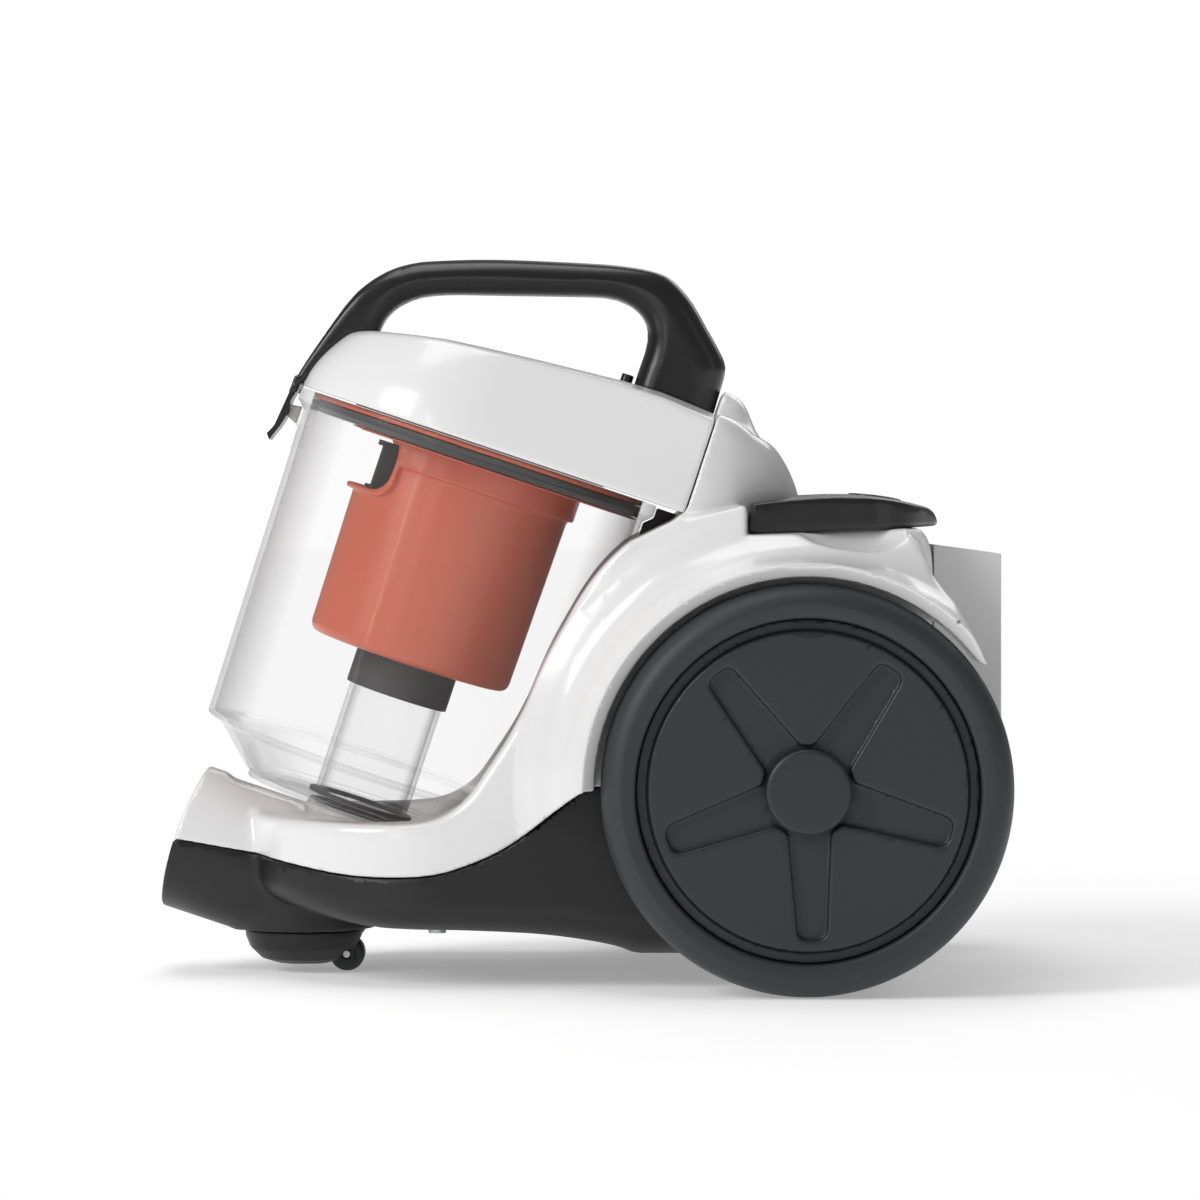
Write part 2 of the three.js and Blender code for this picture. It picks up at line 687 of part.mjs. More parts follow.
function neckHollow() {
  return side(inset(neckOutline(), shellWall), -120, 120).intersect(neckPlan(shellWall));
}

// Flared arch over each wheel, for the right-hand side
function fender() {
  const inner = wheelRadius + fenderClearance;
  const outerY = wheelInner + wheelWidth - 5;
  const shoulder = inner + fenderLip + 12.6;
  const top = wheelRadius + shoulder;
  const rearLip = wheelRadius + 44;
  const archRear = [[176.9, 155.3], [166.2, 172.2], [157.3, 182], [152, 196]];
  const arch = turned([
    [inner, bodyHalfWidth - 2],
    [inner, outerY],
    [inner + fenderLip, outerY],
    [inner + fenderLip + 3.2, outerY - 11],
    [inner + fenderLip + 8, outerY - 22],
    [shoulder, outerY - 29],
    [inner + 29, bodyHalfWidth - 1],
    [inner + 29, bodyHalfWidth - 2],
  ], 32, 'y');
  const centred = placed(arch, new THREE.Matrix4().makeTranslation(wheelX, 0, wheelRadius));
  const kept = join(
    box(-80, wheelX, 0, 200, seamZ, top),
    side([[wheelX - 1, rearLip], [184, rearLip], ...archRear, [146, top], [wheelX - 1, top]], 0, 200),
  );
  return centred.intersect(kept);
}

function alongInlet(radius, from, to, segments = 24) {
  return fromCup(rod(radius, [from, 0, -inletDrop], [to, 0, -inletDrop], segments));
}

const casterPadRadius = casterDomeRadius + 5.5;
const casterPadBottom = casterTop + gap;
const casterFloor = casterPadBottom + 2.2;
const ductHoleRadius = ductRadius + 0.5;

function bodySolid() {
  const socket = alongInlet(inletRadius, -inletMouth, -19)
    .intersect(box(-240, 0, -50, 50, casterPadBottom, 200));
  const pad = rod(casterPadRadius, [casterX, 0, casterPadBottom], [casterX, 0, 46], 20);
  const arch = fender();
  return join(bodyCore(0), neck(), arch, mirrored(arch), socket, pad);
}

function bodyHollow() {
  const socketBore = alongInlet(inletRadius - shellWall, -inletMouth - 20, -22);
  const padHollow = rod(casterPadRadius - 2.6, [casterX, 0, casterFloor], [casterX, 0, 50], 20);
  const aboveFloor = box(-240, 300, -200, 200, casterFloor, 400);
  return join(bodyCore(shellWall), neckHollow(), padHollow, socketBore.intersect(aboveFloor));
}

const axleHole = rod(axleRadius + 1, [wheelX, -120, wheelRadius], [wheelX, 120, wheelRadius]);
const verticalDuctHole = fromCup(rod(ductHoleRadius, [0, 0, -inletDrop], [0, 0, -100], 20));
const frontScrews = [[-62, -54], [-62, 54]];
const portSide = { y0: -44, y1: -12, z0: 12, z1: 32 };

function upperBody(whole, hollow) {
  const recess = cupRecess(0);
  const liner = cupRecess(shellWall).intersect(hollow).intersect(box(-240, 300, -200, 200, 44, 400));
  const ductBoss = fromCup(rod(ductBossRadius, [0, 0, recessFloor - shellWall - 6],
    [0, 0, flapBottom - 0.9], 40));
  const port = fromCup(box(lidBack - 3, lidBack + 6, portSide.y0, portSide.y1, portSide.z0, portSide.z1));
  const pawlChannel = fromCup(box(lidBack - 3, lidBack + 2.4, -5.6, 5.6, pawlZ - 3.4, 80));
  const exhaustOpening = box(bodyRear - 10, bodyRear + 10, -46, 46, housingBottom + 10, housingTop - 12);
  const shell = cut(join(cut(whole, hollow).intersect(aboveSeam(0)), liner), recess);
  const posts = frontScrews.map(([x, y]) => cut(
    rod(4.2, [x, y, 29], [x, y, 76], 16).intersect(hollow).subtract(recess),
    rod(2.1, [x, y, 20], [x, y, 50], 12),
  ));
  const stems = [-buttonY, buttonY].map((y) => rod(3.8, [buttonX, y, 190], [buttonX, y, 210], 16));
  const boardPosts = [[-34, 121], [34, 121], [-34, 149], [34, 149]].map(([y, x]) => rod(2.4,
    [x, y, boardZ + 1.6 + gap], [x, y, deckZ + 1], 10));
  const seat = cut(join(shell, ductBoss, ...posts, ...boardPosts), verticalDuctHole,
    alongInlet(ductHoleRadius, -30, 0));
  return largest(cut(seat, port, pawlChannel, exhaustOpening, axleHole, ...stems));
}

const towerInner = bodyHalfWidth - 7.5;
const towerOuter = bodyHalfWidth - shellWall - 0.4;
const floorTop = bodyBottom + shellWall;
const floorScrews = [[motorX + 52, motorY], [reelX + 6, reelInner + 22]];

function lowerChassis(whole, hollow) {
  const shell = cut(whole, hollow, aboveSeam(gap), cupRecess(0));
  const tower = cut(
    box(wheelX - 14, wheelX + 14, towerInner, towerOuter, floorTop - 1,
      wheelRadius + 14).intersect(bodyPlan(shellWall + 0.3)).intersect(bodySection(1)),
    rod(axleRadius + gap, [wheelX, 0, wheelRadius], [wheelX, 120, wheelRadius]),
  );
  const screwHoles = [...frontScrews, ...floorScrews].map(([x, y]) => rod(2.1, [x, y, 0], [x, y, 40], 12));
  const kingpinHole = rod(4.4, [casterX, 0, 10], [casterX, 0, 30], 20);
  const glandHole = rod(6.3, [bodyRear - 8, glandY, glandZ], [bodyRear + 8, glandY, glandZ], 24);
  return largest(cut(join(shell, tower, mirrored(tower)), axleHole.intersect(join(
    box(0, 200, -130, -towerOuter - 0.1, 0, 200), box(0, 200, towerOuter + 0.1, 130, 0, 200))),
  ...screwHoles, kingpinHole, glandHole));
}

// ---------------------------------------------------------------- hose inlet
function hoseSocket() {
  const [outer, inner] = [inletRadius - shellWall - gap, ductRadius - ductWall];
  const profile = [[inner, 0], [inner + 2, 0], [inner + 3.5, 1], [outer, 1], [outer, 6], [inner, 6]];
  const collar = turned(profile, 24);
  const turn = new THREE.Matrix4().makeRotationY(Math.PI / 2);
  const matrix = new THREE.Matrix4().makeTranslation(-inletMouth, 0, -inletDrop).multiply(turn);
  return placed(collar, matrix);
}

// Bend from the hose socket up to the middle of the cup
function inletDuct() {
  const start = -inletMouth + 6 + gap;
  const top = flapBottom - 0.9;
  const tubes = (radius, from, to) => {
    const corner = new THREE.SphereGeometry(radius, 16, 8).translate(0, 0, -inletDrop);
    return join(
      rod(radius, [from, 0, -inletDrop], [0, 0, -inletDrop], 32),
      solid(corner),
      rod(radius, [0, 0, -inletDrop], [0, 0, to], 32),
    );
  };
  return cut(tubes(ductRadius, start, top), tubes(ductRadius - ductWall, start - 1, top + 1));
}

function ductSeal() {
  return ring(ductHoleRadius + 0.3, ductBossRadius - 0.6, flapBottom - 0.9 + gap, flapBottom - gap, 20);
}

// ---------------------------------------------------------------- top panel and its buttons
function panelBlock(raise) {
  const shape = new THREE.Shape();
  shape.moveTo(panelFront, deckZ + 1.9);
  shape.lineTo(82, deckZ + gap + 0.1);
  shape.lineTo(152, deckZ + 3.9);
  shape.lineTo(panelRear - 2, deckZ + 4.4);
  shape.lineTo(panelRear, deckZ + 5.4);
  shape.quadraticCurveTo(panelRear - 1, 211.5, 157, 213.6 + raise);
  shape.quadraticCurveTo(136, 219.6 + raise, 112, 218.7 + raise);
  shape.quadraticCurveTo(94, 218, panelFront + 2, 215.6 + raise);
  return side(shape, -100, 100, 6);
}

function panelPlan(wall) {
  const half = panelHalfWidth - wall;
  const shape = new THREE.Shape();
  shape.moveTo(panelFront - 4, -half);
  shape.lineTo(118, -half);
  shape.bezierCurveTo(140, -half, panelRear - wall, -half + 18, panelRear - wall, -40);
  shape.lineTo(panelRear - wall, 40);
  shape.bezierCurveTo(panelRear - wall, half - 18, 140, half, 118, half);
  shape.lineTo(panelFront - 4, half);
  return plan(shape, deckZ - 20, deckZ + 40, 8);
}

const buttonPlan = (sign, grow) => {
  const y = sign * buttonY;
  return roundedRectangle(buttonX - buttonLength / 2 - grow, buttonX + buttonLength / 2 + grow,
    y - buttonWidth / 2 - grow, y + buttonWidth / 2 + grow, 5);
};

function topPanel() {
  const block = panelBlock(0).intersect(panelPlan(0));
  const hollow = placed(panelBlock(0), new THREE.Matrix4().makeTranslation(0, 0, -panelWall))
    .intersect(panelPlan(panelWall))
    .intersect(box(panelFront + panelWall, 400, -100, 100, 0, 400));
  const inner = panelHalfWidth - panelWall;
  const underside = box(panelFront + panelWall, panelRear - 6, -inner, inner, 190, 208)
    .intersect(panelPlan(panelWall));
  const holes = [-1, 1].map((sign) => plan(buttonPlan(sign, buttonGap), 190, 240, 4));
  const spine = side(bumpOutline, -31, 31);
  const roomForNeck = neckPlan(-0.5).intersect(join(spine, box(40, 112, -120, 120, 180, 240)));
  return cut(block, hollow, underside, roomForNeck, ...holes);
}

function panelButton(sign) {
  const cap = panelBlock(0.5).intersect(plan(buttonPlan(sign, 0), 213.4, 240, 4));
  const y = sign * buttonY;
  return join(cap, rod(3, [buttonX, y, 195.5], [buttonX, y, 214], 16));
}

// ---------------------------------------------------------------- motor
const boardZ = 178;
const chamberBottom = 26;
const chamberTop = 141;

function motorChamber() {
  const inner = chamberRadius - 2.4;
  const shell = turned([
    [inner, chamberBottom],
    [chamberRadius, chamberBottom],
    [chamberRadius, chamberTop],
    [15, chamberTop],
    [15, chamberTop - 2.4],
    [inner, chamberTop - 2.4],
  ], 20);
  const centred = placed(shell, new THREE.Matrix4().makeTranslation(motorX, motorY, 0));
  const exhaust = box(motorX + 30, motorX + 60, motorY - 22, motorY + 22, 50, 92);
  const foot = box(motorX + chamberRadius - 3, motorX + 58, motorY - 8, motorY + 8, floorTop + gap,
    chamberBottom + 4);
  const [x, y] = floorScrews[0];
  return cut(join(cut(centred, exhaust), foot), rod(2.1, [x, y, 0], [x, y, 40], 12));
}

const aroundMotor = (shape) => placed(shape, new THREE.Matrix4().makeTranslation(motorX, motorY, 0));

function motorMountLower() {
  return aroundMotor(turned([[24, floorTop + gap], [34, floorTop + gap], [30, 30],
    [36, motorBase - gap], [24, motorBase - gap]], 20));
}

function motorMountUpper() {
  const low = motorBase + motorHeight + fanHeight + 2 * gap;
  return aroundMotor(ring(22, 34, low, chamberTop - 2.4 - gap, 20));
}

function motorCan() {
  const top = motorBase + motorHeight;
  return aroundMotor(turned([
    [4.4, motorBase], [motorRadius - 6, motorBase], [motorRadius, motorBase + 5], [motorRadius, top - 3],
    [motorRadius - 3, top], [4.4, top],
  ], 20));
}

function fanHousing() {
  const low = motorBase + motorHeight + gap;
  const high = low + fanHeight;
  return aroundMotor(turned([
    [9, low], [fanRadius, low], [fanRadius, high - 4], [fanRadius - 4, high], [15, high], [15, high - 2],
    [fanRadius - 4.8, high - 2], [fanRadius - 2, high - 4.8], [fanRadius - 2, low + 2], [9, low + 2],
  ], 40));
}

function impeller() {
  const low = motorBase + motorHeight + gap + 5;
  const disc = turned([[0, motorBase + 2], [4, motorBase + 2], [4, low], [fanRadius - 5, low],
    [fanRadius - 5, low + 1.6], [9, low + 1.6], [6, low + 14], [0, low + 14]], 20);
  const blade = box(7, fanRadius - 7, -0.8, 0.8, low + 1, low + 13);
  const blades = Array.from({ length: 7 }, (_, i) => placed(blade,
    new THREE.Matrix4().makeRotationZ((i * 2 * Math.PI) / 7)));
  return aroundMotor(join(disc, ...blades));
}

// Path from the lid's air port down to the motor
function suctionDuct() {
  const [outer, inner] = [15, 13];
  const tube = rod(outer, [motorX, motorY, chamberTop + gap], [motorX, motorY, 210], 24);
  const [x0, x1, y0, y1] = [cupRadius - 20, 91 - shellWall, -57 + shellWall, -10];
  const plenum = box(x0, x1, y0, y1, 208, 232);
  const bore = rod(inner, [motorX, motorY, 130], [motorX, motorY, 212], 24);
  const room = box(x0 - 12, x1 - ductWall, y0 + ductWall, y1 - ductWall, 210, 230);
  return cut(join(tube, plenum), bore, room);
}

function suctionGrille() {
  const [x0, x1] = [lidBack + 2 * gap + 0.5, lidBack + 2 * gap + 2.7];
  const plate = box(x0, x1, portSide.y0 + gap, portSide.y1 - gap, portSide.z0 + gap, portSide.z1 - gap);
  const slots = Array.from({ length: 5 }, (_, i) => {
    const y = portSide.y0 + 4.4 + i * 5.8;
    return box(x0 - 1, x1 + 1, y - 1.9, y + 1.9, portSide.z0 + 3, portSide.z1 - 3);
  });
  return cut(plate, ...slots);
}

// ---------------------------------------------------------------- cord reel and electrics
const reelOuter = reelInner + reelWidth;
const atReel = (shape) => placed(shape, new THREE.Matrix4().makeTranslation(reelX, 0, reelZ));

function reelDrum() {
  return atReel(turned([
    [axleRadius + gap, reelInner], [reelRadius, reelInner], [reelRadius, reelInner + 2], [22, reelInner + 2],
    [22, reelOuter - 2], [reelRadius, reelOuter - 2], [reelRadius, reelOuter], [axleRadius + gap, reelOuter],
  ], 28, 'y'));
}

const uprightWidth = 3;
function reelFrame() {
  const [inside, outside] = [reelInner - 2.5 - uprightWidth, reelOuter + 2.5];
  const base = box(reelX - 14, reelX + 14, inside, outside + uprightWidth, floorTop + gap, floorTop + 3);
  const upright = (y) => box(reelX - 12, reelX + 12, y, y + uprightWidth, floorTop + gap, reelZ + 12);
  const bore = rod(axleRadius + gap, [reelX, 0, reelZ], [reelX, 100, reelZ]);
  const [x, y] = floorScrews[1];
  return cut(join(base, upright(inside), upright(outside)), bore, rod(2.1, [x, y, 0], [x, y, 40], 12));
}

function reelAxle() {
  return rod(axleRadius, [reelX, reelInner - 2.5 - uprightWidth, reelZ],
    [reelX, reelOuter + 2.5 + uprightWidth, reelZ]);
}

function controlBoard() {
  const board = box(118, 152, -38, 38, boardZ, boardZ + 1.6);
  const capacitor = rod(5, [126, 20, boardZ + 1], [126, 20, boardZ + 13], 16);
  const choke = box(140, 150, 12, 28, boardZ + 1, boardZ + 9);
  return join(board, capacitor, choke);
}

function powerSwitch() {
  const body = box(buttonX - 6, buttonX + 6, -buttonY - 5, -buttonY + 5, boardZ + 1.6 + gap, boardZ + 12);
  return join(body, rod(2, [buttonX, -buttonY, boardZ + 11], [buttonX, -buttonY, boardZ + 14], 12));
}

const glandY = 34;
const glandZ = 66;
function cordOutlet() {
  const flange = rod(9.5, [bodyRear + gap, glandY, glandZ], [bodyRear + 3, glandY, glandZ], 24);
  const barrel = rod(6, [bodyRear - 7, glandY, glandZ], [bodyRear + 1, glandY, glandZ], 24);
  return cut(join(flange, barrel), rod(4, [bodyRear - 20, glandY, glandZ],
    [bodyRear + 20, glandY, glandZ], 20));
}

// ---------------------------------------------------------------- exhaust
const housingFront = bodyRear + gap;
const coverHalfWidth = housingHalfWidth - 6.4;
const coverLow = housingBottom + 6.8;
const coverHigh = housingTop - 8;

function rearHousing() {
  const outline = [[housingFront, housingBottom], [housingRear, housingBottom + 4],
    [housingRear, housingTop - 2], [housingFront, housingTop + 2]];
  const outer = side(outline, -housingHalfWidth, housingHalfWidth);
  const wall = shellWall - 0.4;
  const inner = box(housingFront - 1, housingRear - wall, -housingHalfWidth + wall, housingHalfWidth - wall,
    housingBottom + 5, housingTop - 4.4);
  const door = box(housingRear - 10, housingRear + 5, -coverHalfWidth - 0.4, coverHalfWidth + 0.4,
    coverLow - 0.8, coverHigh + 0.4);
  return cut(outer, inner, door);
}

function exhaustCover() {
  const back = housingRear - 0.3;
  const plate = box(back - coverThickness, back, -coverHalfWidth, coverHalfWidth, coverLow, coverHigh);
  const pitch = 8.2;
  const slots = Array.from({ length: 8 }, (_, i) => {
    const z = coverLow + 9.5 + i * pitch;
    return box(back - 10, back + 5, -coverHalfWidth + 8, coverHalfWidth - 8, z, z + 4.4);
  });
  return cut(plate, ...slots);
}

function exhaustFilter() {
  const [x0, x1] = [housingFront + 4, housingRear - 8];
  const half = housingHalfWidth - 6;
  const pleats = 12;
  const pitch = (2 * (half - 4)) / pleats;
  const zigzag = Array.from({ length: 2 * pleats + 1 }, (_, i) => [i % 2 ? x0 + 4 : x1 - 4,
    -half + 4 + (i * pitch) / 2]);
  const sheet = plan([...zigzag, ...zigzag.map(([x, y]) => [x + 1.6, y]).reverse()], coverLow,
    coverHigh - 2);
  const frame = cut(
    box(x0, x1, -half, half, coverLow - 1, coverHigh - 1),
    box(x0 - 1, x1 + 1, -half + 4.5, half - 4.5, coverLow + 2, coverHigh - 4),
  );
  return join(sheet, frame);
}

// ---------------------------------------------------------------- wheels, right-hand side
const wheelOuter = wheelInner + wheelWidth;
const hubCapOuter = wheelOuter + 2;
const atWheel = (shape) => placed(shape, new THREE.Matrix4().makeTranslation(wheelX, 0, wheelRadius));
const tyreSeat = rimRadius + 4.6;

function tyre() {
  return atWheel(turned([
    [tyreSeat + gap, wheelInner],
    [wheelRadius - 4, wheelInner],
    [wheelRadius - 0.9, wheelInner + 4],
    [wheelRadius, wheelInner + 11],
    [wheelRadius, wheelOuter - 10],
    [wheelRadius - 1.4, wheelOuter - 4],
    [wheelRadius - 5, wheelOuter - 0.8],
    [wheelRadius - 9, wheelOuter],
    [tyreSeat + 2, wheelOuter - 1],
    [tyreSeat + gap, wheelOuter - 3],
  ], 32, 'y'));
}

const starArms = 5;
const starTip = rimRadius - 5.6;
const starAngle = THREE.MathUtils.degToRad(52.5);
const hubRadius = 18.6;
const discFace = wheelOuter - 2.4;

function starArm() {
  const outline = new THREE.Shape();
  outline.moveTo(hubRadius - 3, -9.2);
  outline.lineTo(starTip - 2, -6.5);
  outline.quadraticCurveTo(starTip, -6.3, starTip, -4);
  outline.lineTo(starTip, 4);
  outline.quadraticCurveTo(starTip, 6.3, starTip - 2, 6.5);
  outline.lineTo(hubRadius - 3, 9.2);
  return side(outline, discFace - 3, discFace + 5, 4);
}

function wheelDisc() {
  const disc = turned([
    [axleRadius + gap, wheelInner + 6],
    [14, wheelInner + 6],
    [16, discFace - 7],
    [rimRadius - 5, discFace - 7],
    [rimRadius, wheelInner + 1],
    [tyreSeat, wheelInner + 1],
    [tyreSeat, discFace - 4.2],
    [rimRadius + 0.2, discFace - 4.2],
    [rimRadius - 0.6, discFace - 0.8],
    [rimRadius - 2.4, discFace],
    [hubRadius + 1.4, discFace],
    [hubRadius + 1.4, discFace - 3],
    [axleRadius + gap, discFace - 3],
  ], 32, 'y');
  const arm = starArm();
  const arms = Array.from({ length: starArms }, (_, i) => placed(arm,
    new THREE.Matrix4().makeRotationY(-starAngle - (i * 2 * Math.PI) / starArms)));
  return atWheel(cut(disc, ...arms));
}

function hubCap() {
  const low = discFace - 3 + gap;
  return atWheel(turned([
    [0, low], [hubRadius, low], [hubRadius, hubCapOuter - 2], [hubRadius - 1.6, hubCapOuter],
      [0, hubCapOuter],
  ], 32, 'y'));
}

function wheelAxle() {
  const shaft = rod(axleRadius, [wheelX, towerInner + gap, wheelRadius],
    [wheelX, discFace - 3.2, wheelRadius]);
  const collar = rod(11, [wheelX, bodyHalfWidth + gap, wheelRadius],
    [wheelX, bodyHalfWidth + 4, wheelRadius]);
  return join(shaft, collar);
}

// ---------------------------------------------------------------- caster
const casterWheelX = casterX + casterTrail;
const casterAxleRadius = 1.6;

function casterSwivel() {
  const dome = turned([
    [0, 3.2], [12, 3.6], [20, 6], [25, 11], [casterDomeRadius, 16.5], [casterDomeRadius, casterTop],
      [4, casterTop],
    [4, casterFloor + 0.3], [6.2, casterFloor + 0.3], [5.6, casterFloor + 1.3], [0, casterFloor + 1.3],
  ], 24);
  const centred = placed(dome, new THREE.Matrix4().makeTranslation(casterX, 0, 0));
  const half = casterWheelWidth / 2 + 0.6;
  const wheelRoom = box(casterWheelX - casterWheelRadius - 1.4, casterX + 60, -half, half, -5,
    casterWheelRadius * 2 + 1.4);
  const bar = (sign) => rod(2.4, [casterX - 7, sign * 19, 14], [casterX + 14, sign * 19, 14], 12);
  const cheek = box(casterWheelX - 4, casterWheelX + 3.6, half, half + 3, casterWheelRadius - 4, casterTop);
  const axleHole = rod(casterAxleRadius + gap, [casterWheelX, -20, casterWheelRadius],
    [casterWheelX, 20, casterWheelRadius], 12);
  return cut(join(centred, bar(1), bar(-1), cheek, mirrored(cheek)), wheelRoom, axleHole);
}

function casterWheel() {
  const half = casterWheelWidth / 2;
  const profile = [[casterAxleRadius + gap, -half], [casterWheelRadius - 1.4, -half],
    [casterWheelRadius, -half + 1.6],
    [casterWheelRadius, half - 1.6], [casterWheelRadius - 1.4, half], [casterAxleRadius + gap, half]];
  return placed(turned(profile, 20, 'y'), new THREE.Matrix4().makeTranslation(casterWheelX, 0,
    casterWheelRadius));
}

function casterAxle() {
  const reach = casterWheelWidth / 2 + 3.4;
  return rod(casterAxleRadius, [casterWheelX, -reach, casterWheelRadius],
    [casterWheelX, reach, casterWheelRadius], 12);
}

function screw(x, y, headTop, tip) {
  return join(rod(4, [x, y, headTop - 2.2], [x, y, headTop], 16),
    rod(1.8, [x, y, headTop - 0.4], [x, y, tip], 12));
}

// ---------------------------------------------------------------- assembly
const whole = bodySolid();
const hollow = bodyHollow();

add(model, 'lower_chassis', lowerChassis(whole, hollow), black);
add(model, 'upper_body', upperBody(whole, hollow), white);
add(cupFrame, 'hose_socket', hoseSocket(), black);
add(cupFrame, 'inlet_duct', inletDuct(), black);
add(cupFrame, 'duct_seal', ductSeal(), sealGrey);
add(model, 'top_panel', topPanel(), graphite);
add(model, 'power_button', panelButton(-1), graphite);
add(model, 'rewind_button', panelButton(1), graphite);
add(model, 'motor_chamber', motorChamber(), lightGrey);
add(model, 'motor_mount_lower', motorMountLower(), rubber);
add(model, 'motor_mount_upper', motorMountUpper(), rubber);
add(model, 'motor_can', motorCan(), steel);
add(model, 'fan_housing', fanHousing(), steel);
add(model, 'impeller', impeller(), lightGrey);
add(model, 'suction_duct', suctionDuct(), black);
add(cupFrame, 'suction_grille', suctionGrille(), black);
add(model, 'reel_drum', reelDrum(), white);
add(model, 'reel_frame', reelFrame(), lightGrey);
add(model, 'reel_axle', reelAxle(), steel);
add(model, 'control_board', controlBoard(), boardGreen);
add(model, 'power_switch', powerSwitch(), black);
add(model, 'cord_outlet', cordOutlet(), black);
add(model, 'rear_housing', rearHousing(), lightGrey);
add(model, 'exhaust_cover', exhaustCover(), lightGrey);
add(model, 'exhaust_filter', exhaustFilter(), filterWhite);
add(model, 'caster_swivel', casterSwivel(), black);
add(model, 'caster_wheel', casterWheel(), rubber);
add(model, 'caster_axle', casterAxle(), steel);

for (const [sideName, mirror] of [['right', (shape) => shape], ['left', mirrored]]) {
  add(model, `tyre_${sideName}`, mirror(tyre()), rubber);
  add(model, `wheel_disc_${sideName}`, mirror(wheelDisc()), wheelGrey);
  add(model, `hub_cap_${sideName}`, mirror(hubCap()), wheelGrey);
  add(model, `wheel_axle_${sideName}`, mirror(wheelAxle()), steel);
}

frontScrews.forEach(([x, y], i) => add(model, `chassis_screw_${i + 1}`, screw(x, y, 24.2, 44), steel));
floorScrews.forEach(([x, y], i) => add(model, `floor_screw_${i + 1}`,
  screw(x, y, bodyBottom - gap, 24.5), steel));

add(cupFrame, 'dust_cup', dustCup(), clear);
add(cupFrame, 'inlet_tube', inletTube(), clear);
add(cupFrame, 'cyclone_shroud', cycloneShroud(), coral);
add(cupFrame, 'cyclone_elbow', cycloneElbow(), sealGrey);
add(cupFrame, 'shroud_sleeve', ring(inletTubeRadius + gap, sleeveRadius, -shroudDepth - 17,
  -shroudDepth - gap, 32), sealGrey);
add(cupFrame, 'cup_seal', ring(flangeRadius - 3, flangeRadius, -8.8, -3.7, cupFacets), sealGrey);
add(cupFrame, 'foam_filter', rod(filterRadius, [0, 0, -0.8 + gap], [0, 0, filterHeight], 40), filterWhite);
add(cupFrame, 'rear_catch', rearCatch(), graphite);
add(cupFrame, 'bottom_flap', bottomFlap(), clear);
add(cupFrame, 'flap_seal', flapSeal(), sealGrey);
add(cupFrame, 'flap_pin', flapPin(), steel);

add(cupFrame, 'lid', lidShell(), white);
add(model, 'handle', handleBow(), graphite);
add(model, 'latch_lever', latchLever(), graphite);
add(cupFrame, 'latch_hook', latchHook(), lightGrey);
add(model, 'lever_pin', leverPin(), steel);
add(cupFrame, 'release_button', releaseButton(), graphite);
add(cupFrame, 'release_pawl', releasePawl(), graphite);

export default model;
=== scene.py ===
"""Bagless canister vacuum cleaner: casing, dust cup, lid, handle, wheels and studio.

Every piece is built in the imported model's own frame: +X runs from the hose inlet to the exhaust,
+Z is up and the floor is at Z = 0. Forms are worked out in millimetres and become metres when
their mesh is made.
"""

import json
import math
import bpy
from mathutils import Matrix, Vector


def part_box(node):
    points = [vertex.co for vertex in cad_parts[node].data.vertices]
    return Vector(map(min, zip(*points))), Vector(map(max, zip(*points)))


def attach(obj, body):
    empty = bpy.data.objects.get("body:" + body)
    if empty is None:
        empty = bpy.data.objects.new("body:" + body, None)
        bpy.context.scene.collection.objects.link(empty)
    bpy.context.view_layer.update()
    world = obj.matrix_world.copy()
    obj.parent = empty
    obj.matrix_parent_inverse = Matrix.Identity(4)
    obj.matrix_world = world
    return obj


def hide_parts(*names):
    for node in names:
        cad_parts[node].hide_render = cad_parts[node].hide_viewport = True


bl_info = {
    "name": "Canister vacuum cleaner",
    "version": (1, 0, 0),
    "blender": (4, 5, 0),
    "location": "View3D > Sidebar > Cleaner",
    "description": "Builds the visible surfaces of a bagless canister vacuum cleaner",
    "category": "Add Mesh",
}

import bmesh
import bpy
import numpy as np
import openvdb
from mathutils import Matrix, Vector

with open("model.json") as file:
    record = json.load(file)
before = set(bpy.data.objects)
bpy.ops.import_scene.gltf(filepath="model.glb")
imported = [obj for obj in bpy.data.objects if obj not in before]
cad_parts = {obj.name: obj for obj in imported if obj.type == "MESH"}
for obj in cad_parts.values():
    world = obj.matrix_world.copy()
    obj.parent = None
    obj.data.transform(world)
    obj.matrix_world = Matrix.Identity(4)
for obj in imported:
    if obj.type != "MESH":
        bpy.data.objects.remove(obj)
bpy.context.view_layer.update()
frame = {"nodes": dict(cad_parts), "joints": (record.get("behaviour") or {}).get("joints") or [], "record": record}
MM = 0.001
MERGE_FLATS = 0.05  # how readily flat neighbouring faces of a form are merged


# ------------------------------------------------------------------ sizes taken from the frame
def joint(name):
    return next(j for j in frame["joints"] if j["name"] == name)


def box_mm(node):
    """Lowest and highest corner of a CAD node, in millimetres."""
    low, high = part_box(node)
    return np.array(low) / MM, np.array(high) / MM


LIFT = joint("cup_lift")["axis"]
TILT = math.atan2(LIFT[0], LIFT[2])
SLOTS = {row["node"]: row["material_slot"] for row in frame["record"]["subparts"]}
WHEEL_LOW, WHEEL_HIGH = box_mm("tyre_right")
WHEEL_X = (WHEEL_LOW[0] + WHEEL_HIGH[0]) / 2
WHEEL_Z = (WHEEL_LOW[2] + WHEEL_HIGH[2]) / 2
WHEEL_R = (WHEEL_HIGH[2] - WHEEL_LOW[2]) / 2
WHEEL_IN = WHEEL_LOW[1]
WHEEL_OUT = WHEEL_HIGH[1]
DISC_FACE = WHEEL_OUT - 2.4
CUP_R = 82.0
RIM_R = 86.0
CUP_SEAT = (-44.2, 241.2)
LID_BACK = 97.5
BODY_HALF = 92.0
SEAM_Z = 89.7
WALL = 3.0
SOCKET_R = 33.5
SOCKET_BORE = 30.5
SOCKET_MOUTH = 71.6
SOCKET_DROP = 212.9
DUCT_BORE = 17.5
DUCT_BOSS = 23.4
AXLE_HOLE = 7.0
LINER_FOOT = 44.0
BUTTON_HOLE = (54.4, 3.1)
